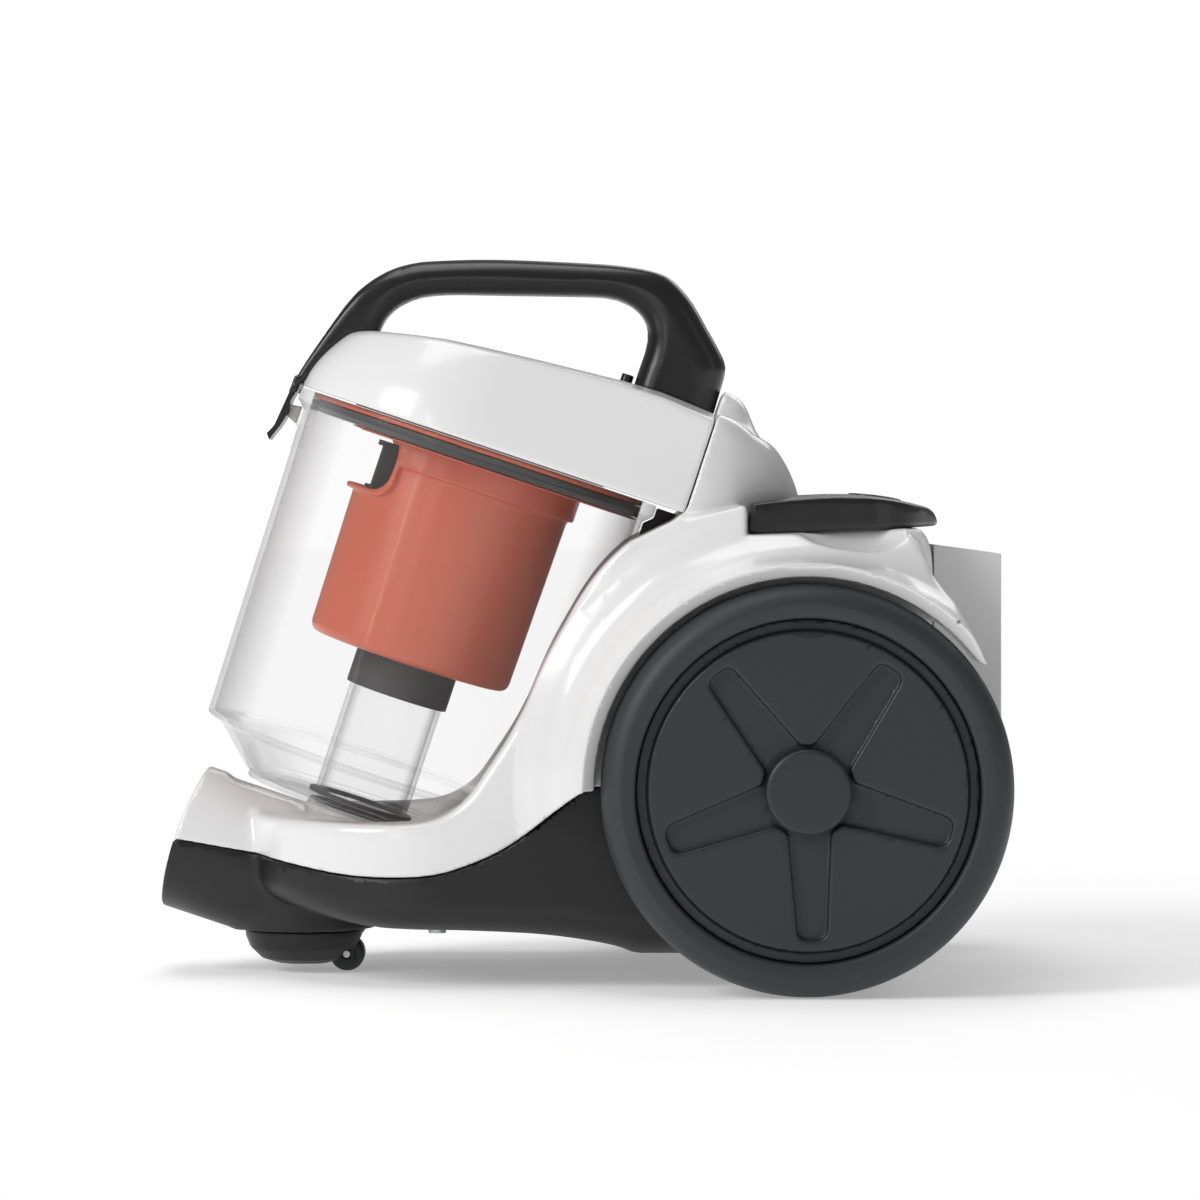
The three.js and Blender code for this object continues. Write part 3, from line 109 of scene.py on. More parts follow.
PORT_MIDDLE = (28.0, 22.0)
PORT_HALF = (16.0, 10.0)
CASTER_X = -124.5
CASTER_WHEEL_X = -105.0
CASTER_WHEEL_R = 8.0

CUP_TO_WORLD = Matrix.Translation((CUP_SEAT[0] * MM, 0, CUP_SEAT[1] * MM)) @ Matrix.Rotation(TILT, 4, "Y")


def cup_point(x, z):
    """World X and Z, in millimetres, of a point in the dust cup's frame."""
    c, s = math.cos(TILT), math.sin(TILT)
    return CUP_SEAT[0] + c * x + s * z, CUP_SEAT[1] - s * x + c * z


def cup_coordinates(x, z):
    """The dust cup's own x and z for world X and Z."""
    c, s = math.cos(TILT), math.sin(TILT)
    dx, dz = x - CUP_SEAT[0], z - CUP_SEAT[1]
    return c * dx - s * dz, s * dx + c * dz


# ------------------------------------------------------------------ settings
def colour(name, about, default):
    return bpy.props.FloatVectorProperty(
        name=name, description=about, subtype="COLOR", size=3, min=0, max=1, default=linear(default))


def length(name, about, millimetres):
    return bpy.props.FloatProperty(
        name=name, description=about, unit="LENGTH", default=millimetres * MM, min=0)


def linear(code):
    """An sRGB hex colour as linear red, green and blue."""
    channels = [int(code[i:i + 2], 16) / 255 for i in (0, 2, 4)]
    return tuple(c / 12.92 if c <= 0.04045 else ((c + 0.055) / 1.055) ** 2.4 for c in channels)


class CleanerColours(bpy.types.PropertyGroup):
    """Colours of the moulded finishes."""
    white: colour("Casing white", "Glossy ABS of the casing and the lid", "ededed")
    black: colour("Chassis black", "Grained polypropylene of the chassis", "0f0f10")
    graphite: colour("Trim graphite", "Satin ABS of the handle and the top panel", "1d1d1f")
    wheel: colour("Wheel grey", "Satin ABS of the wheel discs", "2a2c2f")
    coral: colour("Cyclone coral", "Tinted ABS of the cyclone", "cf6a50")


class CleanerSizes(bpy.types.PropertyGroup):
    """Sizes of the details that the CAD model leaves plain."""
    fine: length("Surface step", "Grid step of the moulded forms", 1.0)
    star_depth: length("Star depth", "Depth of the star pressed into each wheel disc", 3.4)
    slat_pitch: length("Slat pitch", "Distance between the exhaust door's slats", 8.2)
    edge: length("Edge radius", "Radius that the edges of small pieces are a multiple of", 1.0)


# ------------------------------------------------------------------ curves
def through(points, steps=8):
    """Points of a smooth curve through the given points, ends included."""
    p = np.array(points, float)
    p = np.vstack([2 * p[0] - p[1], p, 2 * p[-1] - p[-2]])
    t = np.linspace(0, 1, steps, endpoint=False)[:, None]
    spans = []
    for a, b, c, d in zip(p, p[1:], p[2:], p[3:]):
        spans.append(0.5 * (2 * b + (c - a) * t + (2 * a - 5 * b + 4 * c - d) * t ** 2
            + (3 * b - a - 3 * c + d) * t ** 3))
    return [tuple(q) for q in np.vstack(spans + [p[-2:-1]])]


def bend(start, control, end, steps=8):
    """Points of a quadratic curve, ends included."""
    t = np.linspace(0, 1, steps + 1)[:, None]
    a, b, c = np.array(start, float), np.array(control, float), np.array(end, float)
    return [tuple(q) for q in (1 - t) ** 2 * a + 2 * t * (1 - t) * b + t ** 2 * c]


def filleted(points, radius, steps=4):
    """A closed outline with each corner rounded."""
    done = []
    count = len(points)
    for i, corner in enumerate(points):
        before, after = np.array(points[i - 1], float), np.array(points[(i + 1) % count], float)
        corner = np.array(corner, float)
        reach_in = min(radius, 0.45 * np.linalg.norm(before - corner))
        reach_out = min(radius, 0.45 * np.linalg.norm(after - corner))
        start = corner + (before - corner) / np.linalg.norm(before - corner) * reach_in
        end = corner + (after - corner) / np.linalg.norm(after - corner) * reach_out
        done += bend(start, corner, end, steps)
    return done


# ------------------------------------------------------------------ forms described by distance
class Block:
    """A grid of points in millimetres. A form on it is the points where its distance is negative."""

    def __init__(self, low, high, step, mirrored=False):
        self.step = step
        self.mirrored = mirrored
        self.low = np.array(low, float)
        if mirrored:
            self.low[1] = 0.0
        axes = [np.arange(a, b + step, step, dtype=np.float32) for a, b in zip(self.low, high)]
        self.x, self.y, self.z = np.meshgrid(*axes, indexing="ij", sparse=True)

    def side(self, outline, shift=(0, 0)):
        """Distance to an outline drawn on X and Z."""
        return outline_distance(outline, self.x[:, :, 0] - shift[0], self.z[0] - shift[1])[:, None, :]

    def plan(self, outline):
        """Distance to an outline drawn on X and Y."""
        return outline_distance(outline, self.x[:, :, 0], self.y[:, :, 0])[:, :, None]


def outline_distance(outline, a, b):
    """Signed distance from each point (a, b) to a closed outline, negative inside."""
    p = np.array(outline, np.float32)
    p = p[np.linalg.norm(p - np.roll(p, 1, axis=0), axis=1) > 1e-4]
    nearest = np.full(np.broadcast(a, b).shape, 1e12, np.float32)
    inside = np.zeros(nearest.shape, bool)
    for (x0, z0), (x1, z1) in zip(p, np.roll(p, -1, axis=0)):
        ex, ez = x1 - x0, z1 - z0
        t = np.clip(((a - x0) * ex + (b - z0) * ez) / (ex * ex + ez * ez), 0, 1)
        nearest = np.minimum(nearest, (a - x0 - ex * t) ** 2 + (b - z0 - ez * t) ** 2)
        if z0 != z1:
            crosses = ((z0 <= b) & (b < z1)) | ((z1 <= b) & (b < z0))
            inside ^= crosses & (x0 + (b - z0) / ez * ex > a)
    return np.where(inside, -1, 1) * np.sqrt(nearest)


def revolved(outline, radius, heights, axis, stops):
    """Distance to a profile of (radius, height) turned about an axis, worked out at the stops first."""
    table = outline_distance(outline, stops[:, None], heights[None, :])
    layers = [np.interp(radius, stops, table[:, j]) for j in range(heights.size)]
    return np.stack(layers, axis).astype(np.float32)


def meet(a, b, radius=0.0):
    """Where both forms are, with their edge rounded."""
    if np.ndim(radius) == 0 and radius <= 0:
        return np.maximum(a, b)
    h = np.maximum(radius - np.abs(a - b), 0) / radius
    return np.maximum(a, b) + h * h * radius / 4


def unite(a, b, radius=0.0):
    """Where either form is, with the corner between them filled."""
    return -meet(-a, -b, radius)


def carve(a, b, radius=0.0):
    return meet(a, -b, radius)


def sampled(field, block_low, step, points):
    """Field values between grid points."""
    at = np.clip((points - block_low) / step, 0, np.array(field.shape) - 1.001)
    i = at.astype(int)
    f = at - i
    total = np.zeros(len(points))
    for dx in (0, 1):
        for dy in (0, 1):
            for dz in (0, 1):
                share = np.abs(1 - dx - f[:, 0]) * np.abs(1 - dy - f[:, 1]) * np.abs(1 - dz - f[:, 2])
                total += share * field[i[:, 0] + dx, i[:, 1] + dy, i[:, 2] + dz]
    return total


def gradient(field, low, step, points):
    reach = 0.6 * step
    normal = np.zeros_like(points)
    for axis in range(3):
        shift = np.zeros(3)
        shift[axis] = reach
        ahead = sampled(field, low, step, points + shift)
        behind = sampled(field, low, step, points - shift)
        normal[:, axis] = (ahead - behind) / (2 * reach)
    return normal


def moulded(name, block, field, place=None):
    """The skin of a form as a smooth mesh object."""
    low, step = block.low.copy(), block.step
    shape = (block.x.size, block.y.size, block.z.size)
    field = np.ascontiguousarray(np.broadcast_to(field, shape), np.float32)
    if block.mirrored:
        field = np.concatenate((field[:, :0:-1], field), axis=1)
        low[1] = -(block.y.size - 1) * step
    band = 3 * step
    grid = openvdb.FloatGrid(band)
    grid.copyFromArray(np.clip(field, -band, band))
    points, triangles, quads = grid.convertToPolygons(0.0, MERGE_FLATS)
    points = np.array(points, float) * step + low
    for _ in range(2):
        slope = gradient(field, low, step, points)
        size = np.maximum((slope ** 2).sum(1), 0.2)
        value = np.clip(sampled(field, low, step, points), -0.4 * step, 0.4 * step)
        points -= slope * (value / size)[:, None]
    normals = gradient(field, low, step, points)
    normals /= np.maximum(np.linalg.norm(normals, axis=1), 1e-6)[:, None]
    faces = [np.array(f, int) for f in (triangles, quads) if len(f)]
    corners = np.concatenate([f.ravel() for f in faces])
    sizes = np.concatenate([np.full(len(f), f.shape[1]) for f in faces])
    first = faces[-1][: 4000]
    a, b, c = (points[first[:, i]] for i in range(3))
    facing = (np.cross(b - a, c - a) * normals[first[:, 0]]).sum()
    mesh = bpy.data.meshes.new(name)
    if facing < 0:
        corners = np.concatenate([f[:, ::-1].ravel() for f in faces])
    mesh.vertices.add(len(points))
    mesh.vertices.foreach_set("co", (points * MM).ravel())
    mesh.loops.add(len(corners))
    mesh.loops.foreach_set("vertex_index", corners)
    mesh.polygons.add(len(sizes))
    mesh.polygons.foreach_set("loop_start", np.concatenate([[0], np.cumsum(sizes)[:-1]]))
    mesh.update(calc_edges=True)
    mesh.validate()
    if place is not None:
        mesh.transform(place)
        turn = np.array(place.to_3x3())
        normals = normals @ turn.T
    mesh.polygons.foreach_set("use_smooth", np.ones(len(mesh.polygons), bool))
    if len(mesh.vertices) == len(normals):
        mesh.normals_split_custom_set_from_vertices([tuple(n) for n in normals])
    return as_object(name, mesh)


def as_object(name, mesh):
    piece = bpy.data.objects.new(name, mesh)
    bpy.context.scene.collection.objects.link(piece)
    return piece


# ------------------------------------------------------------------ turned and carried-over pieces
def turned_mesh(profile, segments, axis="Z"):
    """A ring or a solid of revolution from a closed profile of (radius, height), in millimetres."""
    build = bmesh.new()
    rows = []
    for i in range(segments):
        angle = 2 * math.pi * i / segments
        row = []
        for radius, height in profile:
            across = (radius * math.cos(angle) * MM, radius * math.sin(angle) * MM)
            place = (*across, height * MM) if axis == "Z" else (across[0], height * MM, across[1])
            row.append(build.verts.new(place))
        rows.append(row)
    for row, following in zip(rows, rows[1:] + rows[:1]):
        for i in range(len(profile)):
            j = (i + 1) % len(profile)
            build.faces.new((row[i], row[j], following[j], following[i]))
    bmesh.ops.remove_doubles(build, verts=build.verts, dist=1e-6)
    bmesh.ops.dissolve_degenerate(build, edges=build.edges, dist=1e-7)
    bmesh.ops.recalc_face_normals(build, faces=build.faces)
    mesh = bpy.data.meshes.new("turned")
    build.to_mesh(mesh)
    build.free()
    return mesh


def smooth(piece):
    """Smooth shading that keeps flats flat."""
    piece.data.polygons.foreach_set("use_smooth", np.ones(len(piece.data.polygons), bool))
    piece.data.update()
    keep = piece.modifiers.new("Even normals", "WEIGHTED_NORMAL")
    keep.keep_sharp = True
    keep.weight = 60
    return piece


def turned(name, profile, segments=128, axis="Z", place=None, radius=0.6):
    mesh = turned_mesh(filleted(profile, radius), segments, axis)
    if place is not None:
        mesh.transform(place)
    return smooth(as_object(name, mesh))


def eased(node, radius, segments=2):
    """A copy of a CAD node with its edges rounded, which stands for it."""
    source = frame["nodes"][node]
    mesh = source.data.copy()
    build = bmesh.new()
    build.from_mesh(mesh)
    bmesh.ops.remove_doubles(build, verts=build.verts, dist=1e-6)
    bmesh.ops.dissolve_limit(build, angle_limit=math.radians(1.5), verts=build.verts, edges=build.edges)
    build.to_mesh(mesh)
    build.free()
    mesh.materials.clear()
    piece = as_object(node + "_eased", mesh)
    bevel = piece.modifiers.new("Rounded edges", "BEVEL")
    bevel.width = radius * bpy.context.scene.cleaner_sizes.edge
    bevel.segments = segments
    bevel.limit_method = "ANGLE"
    bevel.angle_limit = math.radians(38)
    bevel.use_clamp_overlap = True
    bevel.harden_normals = False
    return smooth(piece)


def hand_over(piece, node):
    """Gives a finished piece the finish and the body of the CAD node that it stands for."""
    slot = SLOTS[node]
    piece.data.materials.clear()
    piece.data.materials.append(MATERIALS[slot])
    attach(piece, body_of(node))
    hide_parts(node)
    return piece


def body_of(node):
    return next(b for b, nodes in frame["record"]["behaviour"]["bodies"].items() if node in nodes)


# ------------------------------------------------------------------ materials
def add_node(tree, kind, settings=None, **links):
    """Adds a shader node with its settings, and links or sets its inputs."""
    node = tree.nodes.new(kind)
    for key, value in (settings or {}).items():
        setattr(node, key, value)
    for key, value in links.items():
        name = int(key[1:]) if key[0] == "_" else key.replace("_", " ")
        socket = node.inputs[name]
        if isinstance(value, bpy.types.NodeSocket):
            tree.links.new(value, socket)
        else:
            socket.default_value = value
    return node


def new_material(name):
    material = bpy.data.materials.new(name)
    material.use_nodes = True
    tree = material.node_tree
    return material, tree, tree.nodes["Principled BSDF"]


def moulded_plastic(name, base, roughness, grain_mm, grain_height, mottle=0.05, coat=0.0, ior=1.5):
    """Injection-moulded plastic: one dyed colour, a fine surface from the mould, faint flow variation."""
    material, tree, shader = new_material(name)
    place = add_node(tree, "ShaderNodeTexCoord").outputs["Object"]
    flow = add_node(tree, "ShaderNodeTexNoise", Vector=place, Scale=1 / (45 * MM), Detail=3.0,
        Roughness=0.6)
    tint = add_node(tree, "ShaderNodeMapRange", Value=flow.outputs["Fac"], To_Min=1 - mottle,
        To_Max=1 + mottle)
    mix = add_node(tree, "ShaderNodeVectorMath", {"operation": "SCALE"}, _0=tuple(base),
        Scale=tint.outputs[0])
    tree.links.new(mix.outputs[0], shader.inputs["Base Color"])
    grain = add_node(tree, "ShaderNodeTexNoise", Vector=place, Scale=1 / (grain_mm * MM), Detail=2.0,
        Roughness=0.5)
    sheen = add_node(tree, "ShaderNodeMapRange", Value=flow.outputs["Fac"], To_Min=roughness * 0.85,
        To_Max=roughness * 1.15)
    tree.links.new(sheen.outputs[0], shader.inputs["Roughness"])
    bump = add_node(tree, "ShaderNodeBump", Strength=grain_height, Distance=0.05 * MM,
        Height=grain.outputs["Fac"])
    tree.links.new(bump.outputs[0], shader.inputs["Normal"])
    shader.inputs["IOR"].default_value = ior
    shader.inputs["Coat Weight"].default_value = coat
    shader.inputs["Coat Roughness"].default_value = 0.06
    return material


def clear_plastic(name, tint, alpha_face, alpha_edge):
    """Clear SAN: water-clear when looked through squarely, greyer where the wall is seen edge-on."""
    material, tree, shader = new_material(name)
    shader.inputs["Base Color"].default_value = (*tint, 1)
    shader.inputs["Roughness"].default_value = 0.06
    shader.inputs["IOR"].default_value = 1.5
    shader.inputs["Specular IOR Level"].default_value = 1.0
    shader.inputs["Coat Weight"].default_value = 1.0
    facing = add_node(tree, "ShaderNodeLayerWeight", Blend=0.35)
    alpha = add_node(tree, "ShaderNodeMapRange", Value=facing.outputs["Facing"], From_Min=0.25,
        From_Max=1.0, To_Min=alpha_face, To_Max=alpha_edge)
    tree.links.new(alpha.outputs[0], shader.inputs["Alpha"])
    return material


def drawn_steel(name, base, roughness=0.32):
    """Zinc-plated drawn steel: fine scratches along the draw direction."""
    material, tree, shader = new_material(name)
    place = add_node(tree, "ShaderNodeTexCoord").outputs["Object"]
    stretch = add_node(tree, "ShaderNodeMapping", Vector=place, Scale=(1, 1, 14))
    scratch = add_node(tree, "ShaderNodeTexNoise", Vector=stretch.outputs[0], Scale=1 / (3 * MM),
        Detail=2.0)
    rough = add_node(tree, "ShaderNodeMapRange", Value=scratch.outputs["Fac"], To_Min=roughness * 0.7,
        To_Max=roughness * 1.3)
    tree.links.new(rough.outputs[0], shader.inputs["Roughness"])
    shader.inputs["Base Color"].default_value = (*base, 1)
    shader.inputs["Metallic"].default_value = 1.0
    return material


def felt(name, base, pitch_mm):
    """Needled filter felt: matt fibres with a soft sheen."""
    material, tree, shader = new_material(name)
    place = add_node(tree, "ShaderNodeTexCoord").outputs["Object"]
    fibres = add_node(tree, "ShaderNodeTexNoise", Vector=place, Scale=1 / (pitch_mm * MM), Detail=4.0,
        Roughness=0.7)
    tone = add_node(tree, "ShaderNodeMapRange", Value=fibres.outputs["Fac"], To_Min=0.82, To_Max=1.1)
    mix = add_node(tree, "ShaderNodeVectorMath", {"operation": "SCALE"}, _0=tuple(base),
        Scale=tone.outputs[0])
    tree.links.new(mix.outputs[0], shader.inputs["Base Color"])
    bump = add_node(tree, "ShaderNodeBump", Strength=0.5, Distance=0.3 * MM, Height=fibres.outputs["Fac"])
    tree.links.new(bump.outputs[0], shader.inputs["Normal"])
    shader.inputs["Roughness"].default_value = 0.95
    shader.inputs["Sheen Weight"].default_value = 0.3
    return material


MATERIALS = {}


def make_materials():
    tone = bpy.context.scene.cleaner_colours
    MATERIALS.update(
        # Polished ABS: bright, with a soft clear reflection
        white_shell=moulded_plastic("glossy_white_abs", tone.white, 0.2, 2.5, 0.02, 0.012, coat=0.25),
        # Grained polypropylene: near black, matt, with a leathery micro-texture
        black_shell=moulded_plastic("grained_black_polypropylene", tone.black, 0.42, 0.9, 0.12, 0.04),
        # Satin ABS: dark grey with broad soft highlights
        graphite_shell=moulded_plastic("satin_graphite_abs", tone.graphite, 0.27, 1.2, 0.04, 0.03),
        # Satin ABS of the discs: a blue-grey dye, with a sheen that picks out the star's edges
        wheel_grey=moulded_plastic("satin_wheel_abs", tone.wheel, 0.4, 1.0, 0.06, 0.03),
        # Soft PVC tread over the wheel: a little lighter and duller than the disc
        rubber=moulded_plastic("soft_pvc_tyre", linear("2f3133"), 0.5, 0.8, 0.1, 0.04),
        # Dyed ABS: a warm body colour with a soft highlight along the round wall
        coral=moulded_plastic("coral_abs", tone.coral, 0.3, 1.6, 0.03, 0.03),
        # Silicone rubber: dull, dusty grey
        seal_grey=moulded_plastic("silicone_seal", linear("4a4a4a"), 0.55, 0.7, 0.08, 0.04, ior=1.41),
        # Undyed ABS of hidden and rear pieces: pale, a little duller than the casing
        light_grey=moulded_plastic("pale_grey_abs", linear("dedede"), 0.35, 1.2, 0.04, 0.015),
        # Solder lacquer over glass fibre: green, slightly shiny
        board=moulded_plastic("lacquered_board", linear("24583a"), 0.35, 2.0, 0.05, 0.1),
        # Clear SAN: nearly invisible, with greyer edges and bright reflections
        clear=clear_plastic("clear_san", linear("bcbdbf"), 0.03, 0.6),
        # Zinc-plated steel: bright metal, with fine lines along the draw
        steel=drawn_steel("zinc_plated_steel", linear("b9bbbd")),
        # Needled polyester felt: matt off-white fibres
        filter=felt("needled_filter_felt", linear("e9e6dd"), 0.8),
    )


def dress_cad_nodes():
    """Gives each CAD node its finish. Pieces made here stand for most of the visible ones."""
    for name, slot in SLOTS.items():
        node = frame["nodes"][name]
        material = MATERIALS[slot]
        if not node.material_slots:
            node.data.materials.append(material)
        for place in node.material_slots:
            place.material = material


# ------------------------------------------------------------------ casing
NECK_FRONT = LID_BACK + 0.6
DECK_Z = 200.0
PANEL_FRONT = 76.0
SHOULDER_Z = 209.6
BODY_FRONT = -150.0
BODY_REAR = 160.3

ARM_EDGE = [(46.3, 208.6), (30.3, 200.9), (22.4, 196.6), (11.3, 185.8), (1.9, 172.9), (-5.3, 159.8),
    (-12.4, 145.7), (-19.6, 130.3), (-28.9, 112.3), (-38.4, 97.5), (-47.7, 84.5), (-57.4, 77.2),
    (-67.2, 73.8), (-80.0, 72.6)]
SEAM = [(-179.5, 62.2), (-150, 57), (-129, 53.7), (-97.5, 49.7), (-67, 50.1), (-47.9, 54.9),
    (-28.7, 64), (-9.3, 78.9), (4, SEAM_Z)]
# Cross-section of the wheel arch: (distance from the wheel's axis, distance from the middle plane)
ARCH = ([(92.8, 80), (92.8, 123.4), (98.2, 129.2)] + bend((98.8, 129), (102.5, 104), (114.6, 98.2), 12)
    + bend((116, 97.6), (121, 95.6), (126.5, 92.2), 4) + [(127, 80)])
# Side view of what is kept of the arch
ARCH_KEPT = [(-80, 30), (-80, 230), (PANEL_FRONT - 0.3, 230), (PANEL_FRONT - 0.3, 200.8), (146, 202.5),
    (152, 196), (157.3, 183), (161.7, 176.8), (166.4, 171.6), (170.4, 163.6), (175.6, 153.2),
    (179.4, 144.5), (150, 143), (120, 120), (101, 30)]


def body_outline():
    return (
        [(BODY_REAR, 40), (BODY_REAR, 182)] + bend((BODY_REAR, 184), (BODY_REAR - 1, 200),
        (152, DECK_Z + 3.6))
        + [(82, DECK_Z), (PANEL_FRONT - 0.3, DECK_Z - 0.2), (PANEL_FRONT - 0.3, SHOULDER_Z)]
        + bend((PANEL_FRONT - 2, SHOULDER_Z), (62, SHOULDER_Z + 1.2), cup_point(NECK_FRONT, -1.9), 6)
        + through(ARM_EDGE, 6) + [(-97.5, 72.6), (BODY_FRONT + 5, 74.2)]
        + bend((BODY_FRONT + 5, 74.2), (BODY_FRONT, 74), (BODY_FRONT, 70), 4)
        + bend((BODY_FRONT, 44), (BODY_FRONT, 38.5), (-136.9, 35.2), 6)
        + through([(-136.9, 35.2), (-113.3, 29.9), (-88, 25.6), (-48, 24.7), (-13.4, 22.8), (14.4, 18.5),
        (26.9, 14.2)], 6)
        + [(132, 14.2)] + bend((132, 14.2), (158, 14.2), (BODY_REAR, 40), 8)
    )


def neck_outline():
    """Side view of the neck behind the lid, drawn a little past its front plane."""
    return (
        [cup_point(80, -20), cup_point(80, 50)] + bend(cup_point(NECK_FRONT, 46.5), (72.5, 252.4),
        (80, 245.4), 6)
        + through([(80, 245.4), (88.8, 240.4), (94.9, 233), (99.5, 225.6), (103.7, 218.6)], 5)
        + [(112, 192)]
    )


def neck_form(block):
    x, y = block.x, block.y
    round_back = np.hypot(np.maximum(x - 50, 0) / 54, y / RIM_R) - 1
    neck = meet(block.side(neck_outline()), round_back * 70, 9)
    bump = [cup_point(80, 30), cup_point(80, 58.6), cup_point(NECK_FRONT, 58.2)] + through(
        [(69, 265.4), (75.9, 260.8), (79.7, 253.6), (82.3, 244.8), (83, 232)], 5)
    spine = meet(block.side(bump), y - 29, 16)
    return unite(neck, spine, 6)


def arch_form(block):
    """The flared wheel arch, from its cross-section turned about the wheel's axis."""
    radius = np.hypot(block.x[:, 0, :] - WHEEL_X, block.z[:, 0, :] - WHEEL_Z)
    stops = np.arange(60, 300, block.step, dtype=np.float32)
    arch = revolved(ARCH, radius, block.y[0, :, 0], 1, stops)
    return meet(arch, block.side(ARCH_KEPT), 2.5)


def cup_room(block, grow=0.0):
    """Room for the cup: wide at its rim, drawn in at its foot."""
    x, z = cup_coordinates(block.x, block.z)
    heights = [-181 - grow, -159 - grow, -155 - grow, -30, -24, 0]
    radii = [60 + grow, 75 + grow, CUP_R + 2.5 + grow, CUP_R + 2.5 + grow, RIM_R + 2.5 + grow,
        RIM_R + 2.5 + grow]
    wall = np.hypot(x, block.y) - np.interp(z, heights, radii).astype(np.float32)
    floor = -181 - grow - z
    room = meet(wall, floor, 3)
    lugs = meet(meet(np.abs(x - 53) - 12 - grow, block.y - 14 - grow), meet(floor, z + 100))
    latch = meet(meet(40 - x, x - 97 - grow), meet(block.y - 17 - grow, -21 - grow - z))
    return unite(unite(room, lugs), latch)


def seam_height(x):
    curve = np.array(through(SEAM, 6) + [(14, SEAM_Z), (300, SEAM_Z)])
    return np.interp(x, curve[:, 0], curve[:, 1])


def whole_forms(block):
    """The closed outer form with and without the arches, and the nose tube."""
    x, y, z = block.x, block.y, block.z
    nose = np.where(x < BODY_FRONT + BODY_HALF, np.hypot(x - BODY_FRONT - BODY_HALF, y), y) - BODY_HALF
    plan = meet(nose, x - BODY_REAR, 26)
    rounding = np.interp(z, [14, 52, 150, 190], [26, 5, 5, 4]).astype(np.float32)
    core = meet(block.side(body_outline()), plan, rounding)
    cx, cz = cup_coordinates(x, z)
    mouth = 0.2 - SOCKET_MOUTH - 2.8 * (1 - np.clip((cz + SOCKET_DROP) / SOCKET_R, -1, 1) ** 2) - cx
    tube = meet(np.hypot(cz + SOCKET_DROP, y) - SOCKET_R, mouth, 1.6)
    tube = meet(meet(tube, cx + 19), 19.8 - z, 1.0)
    pad = meet(np.hypot(x - CASTER_X, y) - 33, np.abs(z - 33) - 13.2, 2)
    lower = unite(unite(core, tube, 4), pad, 3)
    neck = neck_form(block)
    neck = meet(neck, NECK_FRONT - cx, 0.8)
    upper = unite(unite(lower, neck, 6), arch_form(block), 2.5)
    return upper, lower, cx, cz


def bore_form(block, cx, cz):
    """The nose tube's bore and the duct up to the cup."""
    tube = meet(np.hypot(cz + SOCKET_DROP, block.y) - SOCKET_BORE, cx + 22)
    duct = meet(np.hypot(cx, block.y) - DUCT_BORE, meet(-SOCKET_DROP - cz, cz + 100))
    return tube, duct


def air_ports(depth, reach, y, z):
    """The two rounded openings that pass air through the lid's back and the neck, in the cup's frame."""
    across = np.abs(y - PORT_MIDDLE[0]) - PORT_HALF[0]
    return meet(meet(np.abs(depth) - reach, across, 4), np.abs(z - PORT_MIDDLE[1]) - PORT_HALF[1], 4)


def upper_casing():
    block = Block((-193, 0, 12), (193, 133, 270), bpy.context.scene.cleaner_sizes.fine / MM, mirrored=True)
    x, y, z = block.x, block.y, block.z
    upper, _, cx, cz = whole_forms(block)
    scoop = (np.sqrt(((x - 124) / 25) ** 2 + ((y - 98) / 14) ** 2 + ((z - 205) / 12) ** 2) - 1) * 12
    upper = carve(upper, scoop, 2.5)
    room = cup_room(block)
    tube, duct = bore_form(block, cx, cz)
    seam = (seam_height(x).astype(np.float32) - z) * 0.9
    skin = meet(carve(upper, upper + WALL), seam, 0.5)
    liner = meet(meet(cup_room(block, WALL), upper + 0.5), LINER_FOOT - z)
    form = carve(unite(skin, liner, 0.5), room, 3.0)
    form = carve(carve(form, tube, 0.6), duct, 0.8)
    boss = meet(np.hypot(cx, y) - DUCT_BOSS, meet(cz + 177.6, -190 - cz), 0.8)
    form = unite(form, carve(boss, np.hypot(cx, y) - DUCT_BORE, 0.8), 0.8)
    ports = air_ports(cx - 98, 5, y, cz)
    axle = meet(np.hypot(x - WHEEL_X, z - WHEEL_Z) - AXLE_HOLE, 60 - y)
    outlet = meet(meet(np.abs(x - BODY_REAR) - 8, y - 46), np.abs(z - 146) - 36)
    form = carve(carve(carve(form, ports, 1.0), axle), outlet)
    return moulded("casing_top", block, form)


def lower_casing():
    block = Block((-193, 0, 12), (165, 95, 96), bpy.context.scene.cleaner_sizes.fine / MM, mirrored=True)
    x, y, z = block.x, block.y, block.z
    _, lower, cx, cz = whole_forms(block)
    tube, _ = bore_form(block, cx, cz)
    seam = (z - seam_height(x).astype(np.float32) + 0.5) * 0.9
    skin = meet(carve(lower, lower + WALL), seam, 0.5)
    tower = meet(meet(np.abs(x - WHEEL_X) - 14, np.abs(y - 86.5) - 2), meet(z - 89, 15 - z))
    form = unite(skin, tower)
    form = carve(carve(form, cup_room(block), 1), carve(tube, 19.8 - z + 3), 0.6)
    kingpin = meet(np.hypot(x - CASTER_X, y) - 4.4, z - 30)
    axle = meet(np.hypot(x - WHEEL_X, z - WHEEL_Z) - AXLE_HOLE, 60 - y)
    form = carve(carve(form, kingpin), axle)
    slot = meet(meet(np.abs(x + 9) - 4.5, np.abs(z - 24) - 1.6), 88 - y)
    return moulded("casing_base", block, carve(form, slot, 0.8))


